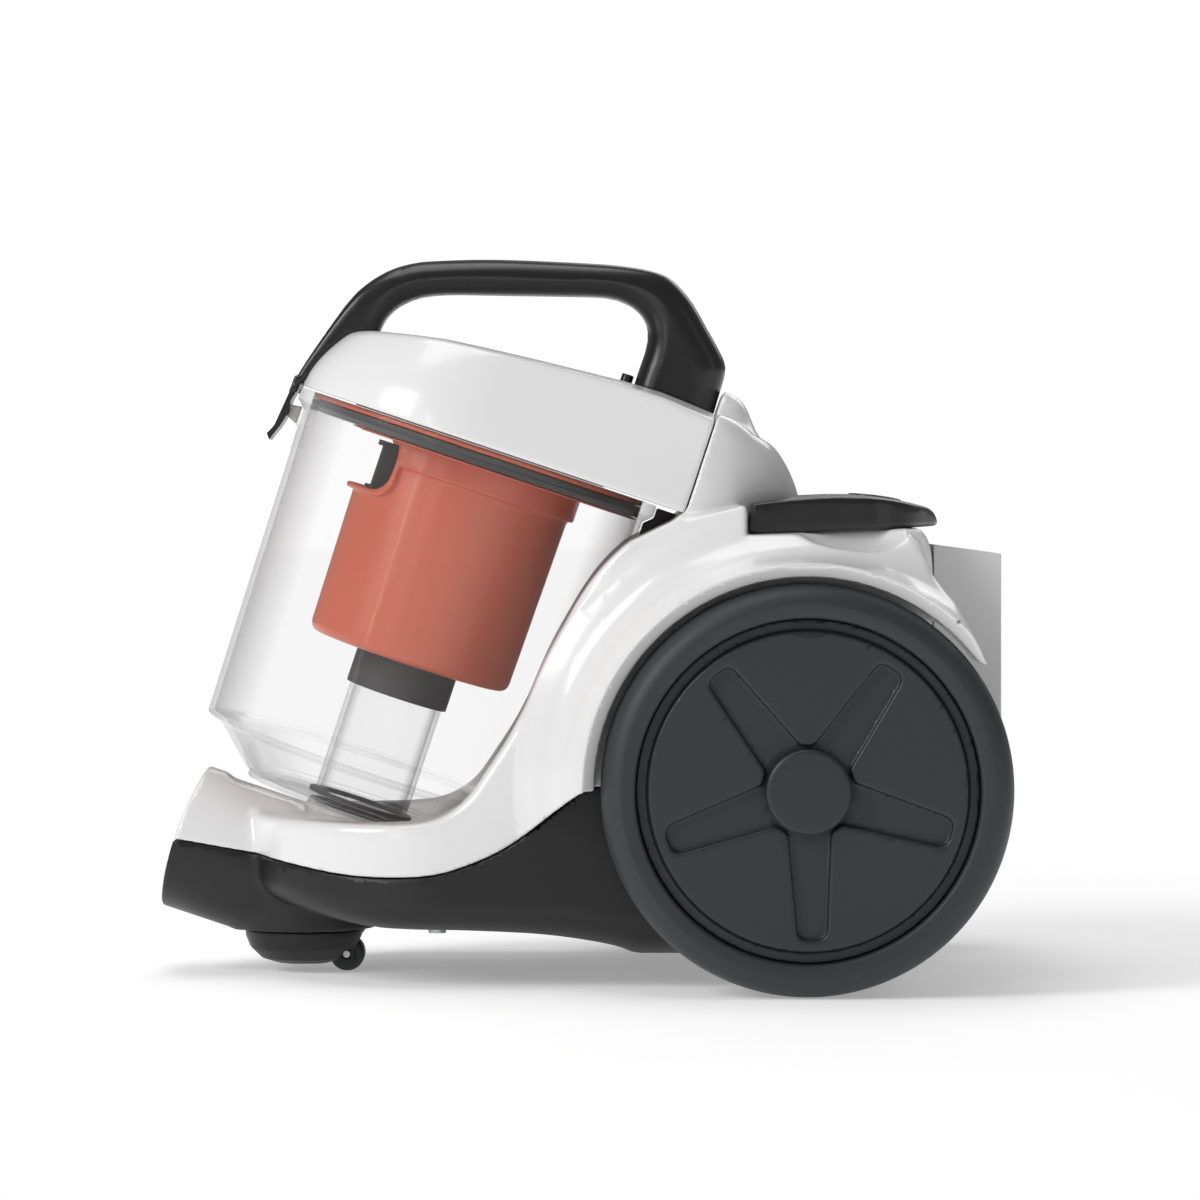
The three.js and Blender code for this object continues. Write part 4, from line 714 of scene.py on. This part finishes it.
# ------------------------------------------------------------------ lid and handle
def lid_outer(x, y, z):
    """The lid's outer form in the cup's frame: round in front, straight to the back, gently crowned."""
    share = np.clip((x + RIM_R) / (RIM_R + LID_BACK), 0, 1)
    inward = RIM_R - np.where(x < 0, np.hypot(x, y), y)
    rise = np.clip(z, 0, None)
    lean = (14.8 * (1 - share) + 6.0 * share) * (rise / (31 + 10 * share)) ** (1.9 - 0.4 * share)
    wall = (lean - inward) * (0.93 - 0.06 * (1 - share))
    spine = np.interp(x, [-90, -71, -61.5, -45, -28.4, 13.5, 53.5, 72.8, 98],
        [29.6, 32.4, 34.9, 38.2, 41.1, 45.2, 48.5, 49, 47.3])
    fall = 5.5 * (1 - np.clip(inward / RIM_R, 0, 1)) ** 3 * (0.3 + 0.7 * share)
    crown = z - spine.astype(np.float32) + fall
    return meet(wall, crown, 3.2), x - LID_BACK


def lid_shell():
    block = Block((-90, 0, -4), (101, 89, 54), 0.9, mirrored=True)
    x, y, z = block.x, block.y, block.z
    dome, back = lid_outer(x, y, z)
    outer = meet(meet(dome, back, 2.0), -z, 0.9)
    inner = meet(dome + 2.6, back + 2.6, 1.0)
    form = carve(outer, inner, 0.5)
    ports = air_ports(x - LID_BACK, 6, y, z)
    pawl = meet(meet(np.abs(x - LID_BACK) - 6, y - 5.6), np.abs(z - PORT_MIDDLE[1]) - 3.4)
    button = meet(np.hypot(x - BUTTON_HOLE[0], y) - BUTTON_HOLE[1], 30 - z)
    form = carve(carve(carve(form, ports, 0.6), pawl), button)
    return moulded("lid_shell", block, form, CUP_TO_WORLD)


HANDLE_OUT = [(-128.6, 270.8), (-125.1, 276.6), (-120.3, 284), (-115.3, 291.4), (-110.2, 298.7),
    (-104.6, 306.1), (-97.7, 313.4), (-86.8, 320.8), (-75.2, 324.6), (-62.5, 325.8), (-35, 326.3),
    (6.1, 324.6), (25, 323), (36.9, 320.6), (43.9, 317.2), (51.1, 309.8), (55.9, 302.4), (60, 295),
    (64.1, 287.7), (67.8, 280.3), (68.7, 275.5), (67.6, 270.2), (65.4, 263)]
HANDLE_IN = [(26.6, 268.6), (29.2, 276.6), (31.9, 284.4), (33, 291), (32, 297), (28.2, 302.4),
    (21.6, 306.6), (12, 308.8), (-10, 309.4), (-35, 309.8), (-58, 310.1), (-70, 309), (-78.6, 306.1),
    (-83.9, 302.4), (-87.4, 298.7), (-90.4, 293.2)]


def handle_form():
    block = Block((-146, 0, 236), (74, 17, 329), 0.7, mirrored=True)
    x, y, z = block.x, block.y, block.z
    outline = through(HANDLE_OUT, 5)
    outline += [cup_point(LID_BACK - 0.1, 46), cup_point(LID_BACK - 0.1, 38), cup_point(60, 40)]
    outline += through(HANDLE_IN, 5)
    outline += [cup_point(-52, 20), cup_point(-74, 8), cup_point(-80, 1), (-124.4, 270.8)]
    bow = block.side(outline)
    rounding = np.interp(x, [-125, -100, -80], [2.5, 6, 13]).astype(np.float32)
    form = meet(bow, y - 15, rounding)
    cx, cz = cup_coordinates(x, z)
    dome, back = lid_outer(cx, y, cz)
    form = carve(form, meet(dome, back) - 0.15, 0)
    fork = meet(meet(x + 126.4, y - 11.3), z - 273.6)
    cheek = meet(block.side([(-131.4, 265.2), (-128.4, 273), (-124.9, 271.4), (-127.6, 265.2)]),
        np.abs(y - 13.1) - 1.9, 0.8)
    form = unite(carve(form, fork, 0.8), cheek, 1)
    line = through([(29.5, 270), (34.6, 284), (36, 292), (33.5, 300), (26, 306)], 5)
    line += [(26, 306.3), (34, 300), (36.5, 292), (35, 284), (30, 270)]
    groove = np.abs(block.side(line)) - 0.2
    form = carve(form, meet(groove, 12.6 - y), 0.5)
    return moulded("handle_bow", block, form)


# ------------------------------------------------------------------ top panel and buttons
BUTTON_X = 137.0
BUTTON_Y = 17.0
PANEL_HALF = 89.7
PANEL_FALL = 1.4


def panel_outline(raise_by=0.0):
    return (
        [(PANEL_FRONT, DECK_Z + 1.9), (82, DECK_Z + 0.4), (152, DECK_Z + 3.9), (161.5, DECK_Z + 4.4),
        (163.5, DECK_Z + 5.4)]
        + bend((163.5, 205.4), (162.5, 211.5), (157, 213.6 + raise_by), 6)
        + bend((157, 213.6 + raise_by), (136, 219.6 + raise_by), (112, 218.7 + raise_by), 8)
        + bend((112, 218.7 + raise_by), (94, 218), (PANEL_FRONT + 1.2, 215.6 + raise_by), 6)
    )


def panel_plan():
    half = PANEL_HALF
    corner = [(118, half), (132, half), (147, 80), (157, 62), (163.5, 44), (163.5, 20)]
    bow = through(corner, 6)
    return [(PANEL_FRONT, -60), (PANEL_FRONT, half)] + bow + [(163.5, -60)]


def button_room(x, y, grow):
    return meet(np.abs(x - BUTTON_X) - 11.5 - grow, np.abs(y - BUTTON_Y) - 13 - grow, 9)


def crowned(block, raise_by=0.0):
    """The panel's top falls away towards its sides."""
    y, z = block.y, block.z
    outline = block.side(panel_outline(raise_by))
    return outline + PANEL_FALL * (y / PANEL_HALF) ** 2 * np.clip((z - 207) / 5, 0, 1)


def panel_form():
    block = Block((72, 0, 196), (167, 92, 223), 0.7, mirrored=True)
    x, y, z = block.x, block.y, block.z
    plan = block.plan(panel_plan())
    form = meet(crowned(block), plan, 1.8)
    neck = meet(np.hypot(np.maximum(x - 50, 0) / 54, y / RIM_R) * 70 - 70.5,
        block.side(neck_outline()) - 0.5)
    spine = meet(block.side([(60, 190), (60, 270), (83, 250), (84, 190)]), y - 31)
    form = carve(carve(form, neck, 0.6), spine, 0.6)
    form = carve(form, meet(button_room(x, y, 0.35), 190 - z), 0.6)
    ring = np.abs(np.hypot((x - 128) / 27, y / 52) - 1) * 30 - 0.7
    groove = meet(meet(ring, 128 - x), -(crowned(block) + 0.8))
    return moulded("panel_cover", block, carve(form, groove, 0.4))


def button_form(sign, name):
    block = Block((124, 2 if sign > 0 else -32, 194), (150, 32 if sign > 0 else -2, 222), 0.6)
    x, y, z = block.x, block.y, block.z
    mirrored_y = np.abs(y)
    outline = block.side(panel_outline(0.7)) + PANEL_FALL * (mirrored_y / PANEL_HALF) ** 2
    cap = meet(meet(outline, button_room(x, mirrored_y, 0), 1.6), 213.4 - z, 0.5)
    stem = meet(np.hypot(x - BUTTON_X, mirrored_y - BUTTON_Y) - 3, np.abs(z - 205) - 9.5)
    return moulded(name, block, unite(cap, stem))


# ------------------------------------------------------------------ wheels
def star(x, z, sign):
    """Distance to the five-armed star pressed into the disc's face."""
    form = None
    for i in range(5):
        angle = math.radians(52.5 + 72 * i)
        c, s = math.cos(angle) * sign, math.sin(angle)
        along, across = x * c + z * s, -x * s + z * c
        half = 9.4 - 3.1 * np.clip((along - 18) / 46, 0, 1)
        arm = meet(meet(np.abs(across) - half, along - 64.4, 5), -along)
        form = arm if form is None else unite(form, arm, 7)
    return form


def wheel_disc(sign, name):
    block = Block((-77, 0, -77), (77, 38, 77), 0.65)
    x, y, z = block.x, block.y, block.z
    face = DISC_FACE - WHEEL_IN
    outline = [(6.3, 6), (14, 6), (16, face - 7), (65, face - 7), (70, 1), (74.6, 1),
        (74.6, face - 4.4), (70.2, face - 4.4), (69.2, face), (20, face), (20, face - 3),
        (6.3, face - 3)]
    stops = np.arange(0, 112, 0.5, dtype=np.float32)
    disc = revolved(outline, np.hypot(x, z)[:, 0, :], y[0, :, 0], 1, stops)
    depth = bpy.context.scene.cleaner_sizes.star_depth / MM
    pocket = meet(star(x, z, sign), face - depth - y, 0.8)
    form = carve(disc, pocket, 1.4)
    piece = moulded(name, block, form)
    centre = Matrix.Translation((WHEEL_X * MM, sign * WHEEL_IN * MM, WHEEL_Z * MM))
    return placed(piece, centre @ Matrix.Diagonal((1, sign, 1, 1)))


def placed(piece, matrix):
    """Moves a piece's mesh, keeping its own smooth normals. A mirror turns the faces back out."""
    mesh = piece.data
    normals = np.zeros(len(mesh.corner_normals) * 3, np.float32)
    mesh.corner_normals.foreach_get("vector", normals)
    turn = np.array(matrix.to_3x3())
    normals = normals.reshape(-1, 3) @ turn.T
    mesh.transform(matrix)
    corners = np.zeros(len(mesh.loops), int)
    mesh.loops.foreach_get("vertex_index", corners)
    by_vertex = np.zeros((len(mesh.vertices), 3))
    by_vertex[corners] = normals
    if matrix.determinant() < 0:
        mesh.flip_normals()
    mesh.normals_split_custom_set_from_vertices([tuple(n) for n in by_vertex])
    return piece


def on_axle(name, outline, segments, sign):
    """A turned piece on the wheels' axis, from a profile drawn for the right side."""
    mesh = turned_mesh([(p, sign * q) for p, q in outline], segments, "Y")
    mesh.transform(Matrix.Translation((WHEEL_X * MM, 0, WHEEL_Z * MM)))
    return smooth(as_object(name, mesh))


def tyre(sign, name):
    r, a, b = WHEEL_R, 0.0, WHEEL_OUT - WHEEL_IN
    outline = [(74.9, a), (r - 6, a)] + bend((r - 6, a), (r, a + 1), (r, a + 11), 6) + [(r, b - 14)]
    outline += bend((r, b - 14), (r - 0.4, b - 1.5), (r - 9.5, b), 12) + [(76.4, b - 0.6)]
    outline += bend((76.4, b - 0.6), (74.9, b - 1), (74.9, b - 3), 4)
    return on_axle(name, [(p, q + WHEEL_IN) for p, q in outline], 192, sign)


def hub_cap(sign, name):
    low, top = DISC_FACE - 2.7, WHEEL_OUT + 2
    outline = [(0.01, low), (18.6, low), (18.6, top - 1.8)]
    outline += bend((18.6, top - 1.6), (18.2, top - 0.3), (16.6, top), 5) + [(9, top), (0.01, top)]
    return on_axle(name, outline, 96, sign)


# ------------------------------------------------------------------ dust cup
def cup_wall():
    """Clear cup with its flared rim, catch boss and hinge lugs, joined into one body."""
    bottom = CUP_R - 2.2
    profile = [(RIM_R, -0.7), (RIM_R, -6.2), (CUP_R, -9.8), (bottom, -155), (bottom - 7.3, -157.5),
        (54.3, -174.3), (50.6, -174.3), (50.6, -172.2), (53.4, -172.2), (bottom - 8.6, -155.2),
        (bottom - 2.4, -153.4), (CUP_R - 2.4, -0.7)]
    mesh = turned_mesh(filleted(profile, 0.9, 4), 192)
    cup = as_object("cup_wall", mesh)
    boss = block_piece((-82.9, -79.4), (-7, 7), (-18, -10))
    rib = block_piece((-82.9, -79.8), (-1, 1), (-30, -17))
    lugs = [block_piece((55.6, 61), (s * 9.5 - 1.5, s * 9.5 + 1.5), (-178.6, -168.3)) for s in (-1, 1)]
    for extra in (boss, rib, *lugs):
        joined = cup.modifiers.new("Moulded on", "BOOLEAN")
        joined.operation = "UNION"
        joined.solver = "EXACT"
        joined.object = extra
    made = final_mesh(cup)
    cup.modifiers.clear()
    cup.data = made
    for extra in (boss, rib, *lugs):
        bpy.data.objects.remove(extra)
    made.transform(CUP_TO_WORLD)
    return smooth(cup)


def block_piece(xs, ys, zs):
    """A bevelled block in the cup's frame, used to build other pieces."""
    build = bmesh.new()
    bmesh.ops.create_cube(build, size=1)
    for v in build.verts:
        v.co = Vector([(pair[0] if c < 0 else pair[1]) * MM for c, pair in zip(v.co, (xs, ys, zs))])
    bmesh.ops.recalc_face_normals(build, faces=build.faces)
    bmesh.ops.bevel(build, geom=build.edges, offset=0.4 * MM, segments=2, affect="EDGES", profile=0.5)
    mesh = bpy.data.meshes.new("block")
    build.to_mesh(mesh)
    build.free()
    return as_object("block", mesh)


def final_mesh(piece):
    bpy.context.view_layer.update()
    graph = bpy.context.evaluated_depsgraph_get()
    return bpy.data.meshes.new_from_object(piece.evaluated_get(graph), depsgraph=graph)


def shroud_form():
    """Coral cyclone body: flange on the rim, collar, round wall and the framed window."""
    block = Block((-82, -82, -107), (82, 82, 1), 1.0)
    x, y, z = block.x, block.y, block.z
    flange = 79.3
    outline = [(46.6, -0.8), (flange, -0.8), (flange, -3.4), (76, -3.4), (76, -9.1),
        (flange - 0.3, -9.1), (flange - 0.3, -10.2), (74, -10.2), (74, -3.6), (52, -3.6), (52, -20.7),
        (49.2, -20.7), (47.8, -100)]
    outline += bend((47.8, -100), (47.4, -104.4), (43.5, -104.5), 4)
    outline += [(22.3, -104.5), (22.3, -102.2), (43, -102.2), (45.2, -99), (46.6, -20)]
    stops = np.arange(0, 120, 0.5, dtype=np.float32)
    wall = revolved(outline, np.hypot(x, y)[:, :, 0], z[0, 0], 2, stops)
    angle = np.degrees(np.arctan2(-x, -y))
    around = (angle - 85) * math.pi / 180 * 49
    window = meet(np.abs(around) - 39.5, np.abs(z + 20.5) - 14, 12)
    window = meet(window, 30 - np.hypot(x, y))
    outer = np.abs(np.hypot(x, y) - 49.9) - 2.6
    frame_ring = meet(meet(window - 2.6, outer, 1.0), z + 8)
    form = unite(wall, frame_ring, 0.8)
    return moulded("cyclone_body", block, carve(form, window, 0.8), CUP_TO_WORLD)


def cup_turned(name, profile, radius=0.4, segments=128):
    return turned(name, profile, segments, "Z", CUP_TO_WORLD, radius)


# ------------------------------------------------------------------ rear and caster
def slat_tree():
    """Geometry nodes: a row of slats up a frame."""
    tree = bpy.data.node_groups.new("exhaust_slats", "GeometryNodeTree")
    face = tree.interface
    face.new_socket("Geometry", in_out="OUTPUT", socket_type="NodeSocketGeometry")
    for name, default in (("Count", 9), ("Pitch", 0.0082), ("Width", 0.08), ("Depth", 0.0024),
            ("Thickness", 0.0026)):
        kind = "NodeSocketInt" if name == "Count" else "NodeSocketFloat"
        face.new_socket(name, in_out="INPUT", socket_type=kind).default_value = default
    face.new_socket("Material", in_out="INPUT", socket_type="NodeSocketMaterial")
    given = tree.nodes.new("NodeGroupInput")
    size = add_node(tree, "ShaderNodeCombineXYZ", X=given.outputs["Depth"], Y=given.outputs["Width"],
        Z=given.outputs["Thickness"])
    slat = add_node(tree, "GeometryNodeMeshCube", Size=size.outputs[0])
    step = add_node(tree, "ShaderNodeCombineXYZ", Z=given.outputs["Pitch"])
    row = add_node(tree, "GeometryNodeMeshLine", {"mode": "OFFSET"}, Count=given.outputs["Count"],
        Offset=step.outputs[0])
    copies = add_node(tree, "GeometryNodeInstanceOnPoints", Points=row.outputs[0], Instance=slat.outputs[0])
    real = add_node(tree, "GeometryNodeRealizeInstances", Geometry=copies.outputs[0])
    dressed = add_node(tree, "GeometryNodeSetMaterial", Geometry=real.outputs[0],
        Material=given.outputs["Material"])
    result = tree.nodes.new("NodeGroupOutput")
    tree.links.new(dressed.outputs[0], result.inputs[0])
    return tree


def slats(name, corner, count, pitch, width, depth, thickness, material):
    piece = as_object(name, bpy.data.meshes.new(name))
    row = piece.modifiers.new("Slats", "NODES")
    tree = slat_tree()
    row.node_group = tree
    values = {"Count": count, "Pitch": pitch * MM, "Width": width * MM, "Depth": depth * MM,
        "Thickness": thickness * MM, "Material": material}
    for item in tree.interface.items_tree:
        if item.item_type == "SOCKET" and item.in_out == "INPUT":
            row[item.identifier] = values[item.name]
    mesh = final_mesh(piece)
    piece.modifiers.clear()
    piece.data = mesh
    mesh.transform(Matrix.Translation([c * MM for c in corner]))
    return piece


def door_frame(low, high, border):
    """Flat frame with a rectangular window, as a plate on the X face."""
    block = Block((low[0] - 2, 0, low[2] - 2), (high[0] + 2, high[1] + 2, high[2] + 2), 0.7, mirrored=True)
    x, y, z = block.x, block.y, block.z
    middle_x, middle_z = (low[0] + high[0]) / 2, (low[2] + high[2]) / 2
    half = [(h - l) / 2 for l, h in zip(low, high)]
    plate = meet(meet(y - half[1], np.abs(z - middle_z) - half[2], 6), np.abs(x - middle_x) - half[0], 1.2)
    window = meet(y - half[1] + border, np.abs(z - middle_z) - half[2] + border, 4)
    return moulded("exhaust_door", block, carve(plate, window, 0.8))


def caster_dome():
    block = Block((-154, -30, 1), (-92, 30, 27), 0.7)
    x, y, z = block.x, block.y, block.z
    radius = np.hypot(x - CASTER_X, y)
    bowl = radius - np.interp(z, [2.6, 3.6, 6, 11, 16.5, 19.6],
        [0, 13, 20, 25.2, 27.4, 27.5]).astype(np.float32)
    dome = meet(meet(bowl, z - 19.5, 0.8), 2.9 - z, 3)
    pin = meet(radius - 4, np.abs(z - 21) - 2.4)
    head = meet(radius - 6, np.abs(z - 23) - 0.5)
    bars = meet(np.hypot(np.abs(y) - 19, z - 14) - 2.4, np.abs(x - CASTER_X - 3.5) - 10.5, 2)
    cheek = meet(meet(np.abs(np.abs(y) - 9.1) - 1.5, np.abs(x + 105.2) - 3.8, 1), np.abs(z - 11.8) - 7.7, 1)
    form = unite(unite(unite(unite(dome, pin), head), bars, 1), cheek, 0.6)
    room = meet(meet(-114.4 - x, x + 60), meet(np.abs(y) - 7.6, z - 17.4))
    axle = np.hypot(x - CASTER_WHEEL_X, z - CASTER_WHEEL_R) - 1.9
    return moulded("caster_fork", block, carve(carve(form, room, 0.8), axle))


# ------------------------------------------------------------------ studio
# Name, place and size in metres, and power in watts, of each soft light
LIGHTS = (
    ("key", (-1.7, -1.25, 1.4), (0.8, 1.2), 26),
    ("fill", (1.9, -1.3, 0.7), (0.8, 1.4), 1.5),
    ("strip", (-1.15, -2.0, 0.55), (0.1, 1.5), 3),
    ("top", (-0.3, 0.1, 2.1), (1.6, 0.9), 12.5),
    ("back", (0.7, 1.8, 1.2), (1.4, 0.8), 6),
)
AIM = Vector((0, 0, 0.15))
CAMERA_PLACE = (0.011, -2.2, 0.221)
CAMERA_LENS = 143.5
CAMERA_SHIFT = -0.0925


def studio_floor():
    """A white floor that takes soft shadows near the machine and glows evenly further out."""
    bpy.ops.mesh.primitive_plane_add(size=30)
    floor = bpy.context.object
    floor.name = "studio_floor"
    paint, tree, shader = new_material("studio_white")
    shader.inputs["Base Color"].default_value = (0.97, 0.97, 0.97, 1)
    shader.inputs["Roughness"].default_value = 0.9
    shader.inputs["Specular IOR Level"].default_value = 0.1
    shader.inputs["Emission Color"].default_value = (1, 1, 1, 1)
    shader.inputs["Emission Strength"].default_value = 0.3
    place = add_node(tree, "ShaderNodeTexCoord").outputs["Object"]
    away = add_node(tree, "ShaderNodeVectorMath", {"operation": "LENGTH"}, _0=place)
    share = add_node(tree, "ShaderNodeMapRange", {"interpolation_type": "SMOOTHSTEP"},
        Value=away.outputs["Value"], From_Min=0.3, From_Max=0.75)
    glow = add_node(tree, "ShaderNodeEmission", Color=(1, 1, 1, 1), Strength=1.0)
    blend = add_node(tree, "ShaderNodeMixShader", Fac=share.outputs[0], _1=shader.outputs[0],
        _2=glow.outputs[0])
    tree.links.new(blend.outputs[0], tree.nodes["Material Output"].inputs["Surface"])
    floor.data.materials.append(paint)


def studio_world():
    """White surroundings, brighter to the eye than the light that they give."""
    world = bpy.data.worlds.new("studio")
    world.use_nodes = True
    nodes = world.node_tree
    back = nodes.nodes["Background"]
    back.inputs["Color"].default_value = (1, 1, 1, 1)
    back.inputs["Strength"].default_value = 0.22
    seen = add_node(nodes, "ShaderNodeBackground", Color=(1, 1, 1, 1), Strength=1.05)
    ray = nodes.nodes.new("ShaderNodeLightPath")
    mix = add_node(nodes, "ShaderNodeMixShader", Fac=ray.outputs["Is Camera Ray"])
    nodes.links.new(back.outputs[0], mix.inputs[1])
    nodes.links.new(seen.outputs[0], mix.inputs[2])
    nodes.links.new(mix.outputs[0], nodes.nodes["World Output"].inputs["Surface"])
    return world


def soft_light(name, place, size, power):
    lamp = bpy.data.lights.new(name, "AREA")
    lamp.shape = "RECTANGLE"
    lamp.size, lamp.size_y = size
    lamp.energy = power
    holder = bpy.data.objects.new(name, lamp)
    holder.location = place
    holder.rotation_euler = (AIM - Vector(place)).to_track_quat("-Z", "Y").to_euler()
    bpy.context.scene.collection.objects.link(holder)


# ------------------------------------------------------------------ operators, one for each group
class CleanerOperator:
    """What the operators share."""
    bl_options = {"REGISTER", "UNDO"}


class OBJECT_OT_cleaner_casing(CleanerOperator, bpy.types.Operator):
    """Builds the white casing, the black base and the hose socket"""
    bl_idname = "object.cleaner_casing"
    bl_label = "Casing"

    def execute(self, context):
        hand_over(upper_casing(), "upper_body")
        hand_over(lower_casing(), "lower_chassis")
        ring = [(15, 0), (17, 0), (18.5, 1), (30.1, 1), (30.1, 6), (15, 6)]
        mouth = Matrix.Translation((-SOCKET_MOUTH * MM, 0, -SOCKET_DROP * MM))
        place = CUP_TO_WORLD @ mouth @ Matrix.Rotation(math.pi / 2, 4, "Y")
        socket = turned("socket_ring", ring, 128, "Z", place, 0.5)
        hand_over(socket, "hose_socket")
        return {"FINISHED"}


class OBJECT_OT_cleaner_lid(CleanerOperator, bpy.types.Operator):
    """Builds the lid, the carry handle, its latch lever and the release button"""
    bl_idname = "object.cleaner_lid"
    bl_label = "Lid and handle"

    def execute(self, context):
        hand_over(lid_shell(), "lid")
        hand_over(handle_form(), "handle")
        for node, radius in (("latch_lever", 0.6), ("latch_hook", 0.5), ("release_button", 0.5)):
            hand_over(eased(node, radius), node)
        return {"FINISHED"}


class OBJECT_OT_cleaner_cup(CleanerOperator, bpy.types.Operator):
    """Builds the clear dust cup with its cyclone, tube, sleeve, seal and rear catch"""
    bl_idname = "object.cleaner_cup"
    bl_label = "Dust cup"

    def execute(self, context):
        hand_over(cup_wall(), "dust_cup")
        tube = cup_turned("rising_tube", [(20, -172), (22, -172), (22, -40.3), (20, -40.3)], 0.4)
        hand_over(tube, "inlet_tube")
        hand_over(shroud_form(), "cyclone_shroud")
        sleeve = cup_turned("lower_sleeve", [(22.3, -121.5), (23.9, -121.5), (23.9, -104.8),
            (22.3, -104.8)], 0.5)
        hand_over(sleeve, "shroud_sleeve")
        seal = cup_turned("rim_seal", [(76.3, -8.8), (79.3, -8.8), (79.3, -6.8), (78.9, -6.2),
            (79.3, -5.6), (79.3, -3.7), (76.3, -3.7)], 0.3)
        hand_over(seal, "cup_seal")
        hand_over(eased("rear_catch", 0.8), "rear_catch")
        return {"FINISHED"}


class OBJECT_OT_cleaner_panel(CleanerOperator, bpy.types.Operator):
    """Builds the top panel and its two push buttons"""
    bl_idname = "object.cleaner_panel"
    bl_label = "Top panel"

    def execute(self, context):
        hand_over(panel_form(), "top_panel")
        for node, sign in (("power_button", -1), ("rewind_button", 1)):
            hand_over(button_form(sign, node + "_cap"), node)
        return {"FINISHED"}


class OBJECT_OT_cleaner_wheels(CleanerOperator, bpy.types.Operator):
    """Builds the side wheels and the front caster"""
    bl_idname = "object.cleaner_wheels"
    bl_label = "Wheels"

    def execute(self, context):
        for side, sign in (("right", 1), ("left", -1)):
            hand_over(tyre(sign, "tread_" + side), "tyre_" + side)
            hand_over(wheel_disc(sign, "disc_" + side), "wheel_disc_" + side)
            hand_over(hub_cap(sign, "cap_" + side), "hub_cap_" + side)
        hand_over(caster_dome(), "caster_swivel")
        place = Matrix.Translation((CASTER_WHEEL_X * MM, 0, CASTER_WHEEL_R * MM))
        roller = turned("caster_roller", [(1.9, -7), (6.4, -7), (CASTER_WHEEL_R, -5.2),
            (CASTER_WHEEL_R, 5.2), (6.4, 7), (1.9, 7)], 64, "Y", place, 0.8)
        hand_over(roller, "caster_wheel")
        return {"FINISHED"}


class OBJECT_OT_cleaner_rear(CleanerOperator, bpy.types.Operator):
    """Builds the exhaust housing and its slatted door"""
    bl_idname = "object.cleaner_rear"
    bl_label = "Exhaust"

    def execute(self, context):
        pale = MATERIALS["light_grey"]
        hand_over(eased("rear_housing", 1.2, segments=3), "rear_housing")
        low, high = box_mm("exhaust_cover")
        hand_over(door_frame(low, high, 7), "exhaust_cover")
        pitch = context.scene.cleaner_sizes.slat_pitch / MM
        count = int((high[2] - low[2] - 16) / pitch) + 1
        start = (low[0] + 1.3, 0, (low[2] + high[2] - (count - 1) * pitch) / 2)
        width = 2 * high[1] - 13
        row = slats("door_slats", start, count, pitch, width, 2.0, 3.4, pale)
        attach(row, "exhaust_cover")
        hand_over(eased("cord_outlet", 0.8), "cord_outlet")
        return {"FINISHED"}


class OBJECT_OT_cleaner_stage(CleanerOperator, bpy.types.Operator):
    """Adds the pale floor, the soft studio lights and the camera"""
    bl_idname = "object.cleaner_stage"
    bl_label = "Studio"

    def execute(self, context):
        scene = context.scene
        studio_floor()
        scene.world = studio_world()
        for light in LIGHTS:
            soft_light(*light)
        camera = bpy.data.cameras.new("camera")
        camera.sensor_width = 36
        camera.lens = CAMERA_LENS
        camera.shift_y = CAMERA_SHIFT
        camera.clip_end = 50
        holder = bpy.data.objects.new("camera", camera)
        holder.location = CAMERA_PLACE
        holder.rotation_euler = (math.pi / 2, 0, 0)
        scene.collection.objects.link(holder)
        scene.camera = holder
        scene.view_settings.view_transform = "Standard"
        return {"FINISHED"}


STEPS = (OBJECT_OT_cleaner_stage, OBJECT_OT_cleaner_casing, OBJECT_OT_cleaner_lid,
    OBJECT_OT_cleaner_cup, OBJECT_OT_cleaner_panel, OBJECT_OT_cleaner_wheels, OBJECT_OT_cleaner_rear)


class VIEW3D_PT_cleaner(bpy.types.Panel):
    """Lists the settings and the steps."""
    bl_label = "Canister vacuum cleaner"
    bl_space_type = "VIEW_3D"
    bl_region_type = "UI"
    bl_category = "Cleaner"

    def draw(self, context):
        for group in (context.scene.cleaner_colours, context.scene.cleaner_sizes):
            for key in group.bl_rna.properties.keys():
                if key not in ("rna_type", "name"):
                    self.layout.prop(group, key)
        for step in STEPS:
            self.layout.operator(step.bl_idname)


CLASSES = (CleanerColours, CleanerSizes, *STEPS, VIEW3D_PT_cleaner)


def register():
    for entry in CLASSES:
        bpy.utils.register_class(entry)
    bpy.types.Scene.cleaner_colours = bpy.props.PointerProperty(type=CleanerColours)
    bpy.types.Scene.cleaner_sizes = bpy.props.PointerProperty(type=CleanerSizes)


def unregister():
    del bpy.types.Scene.cleaner_sizes
    del bpy.types.Scene.cleaner_colours
    for entry in reversed(CLASSES):
        bpy.utils.unregister_class(entry)


def main():
    register()
    make_materials()
    dress_cad_nodes()
    for step in STEPS:
        group, name = step.bl_idname.split(".")
        getattr(getattr(bpy.ops, group), name)()


if __name__ == "__main__":
    main()
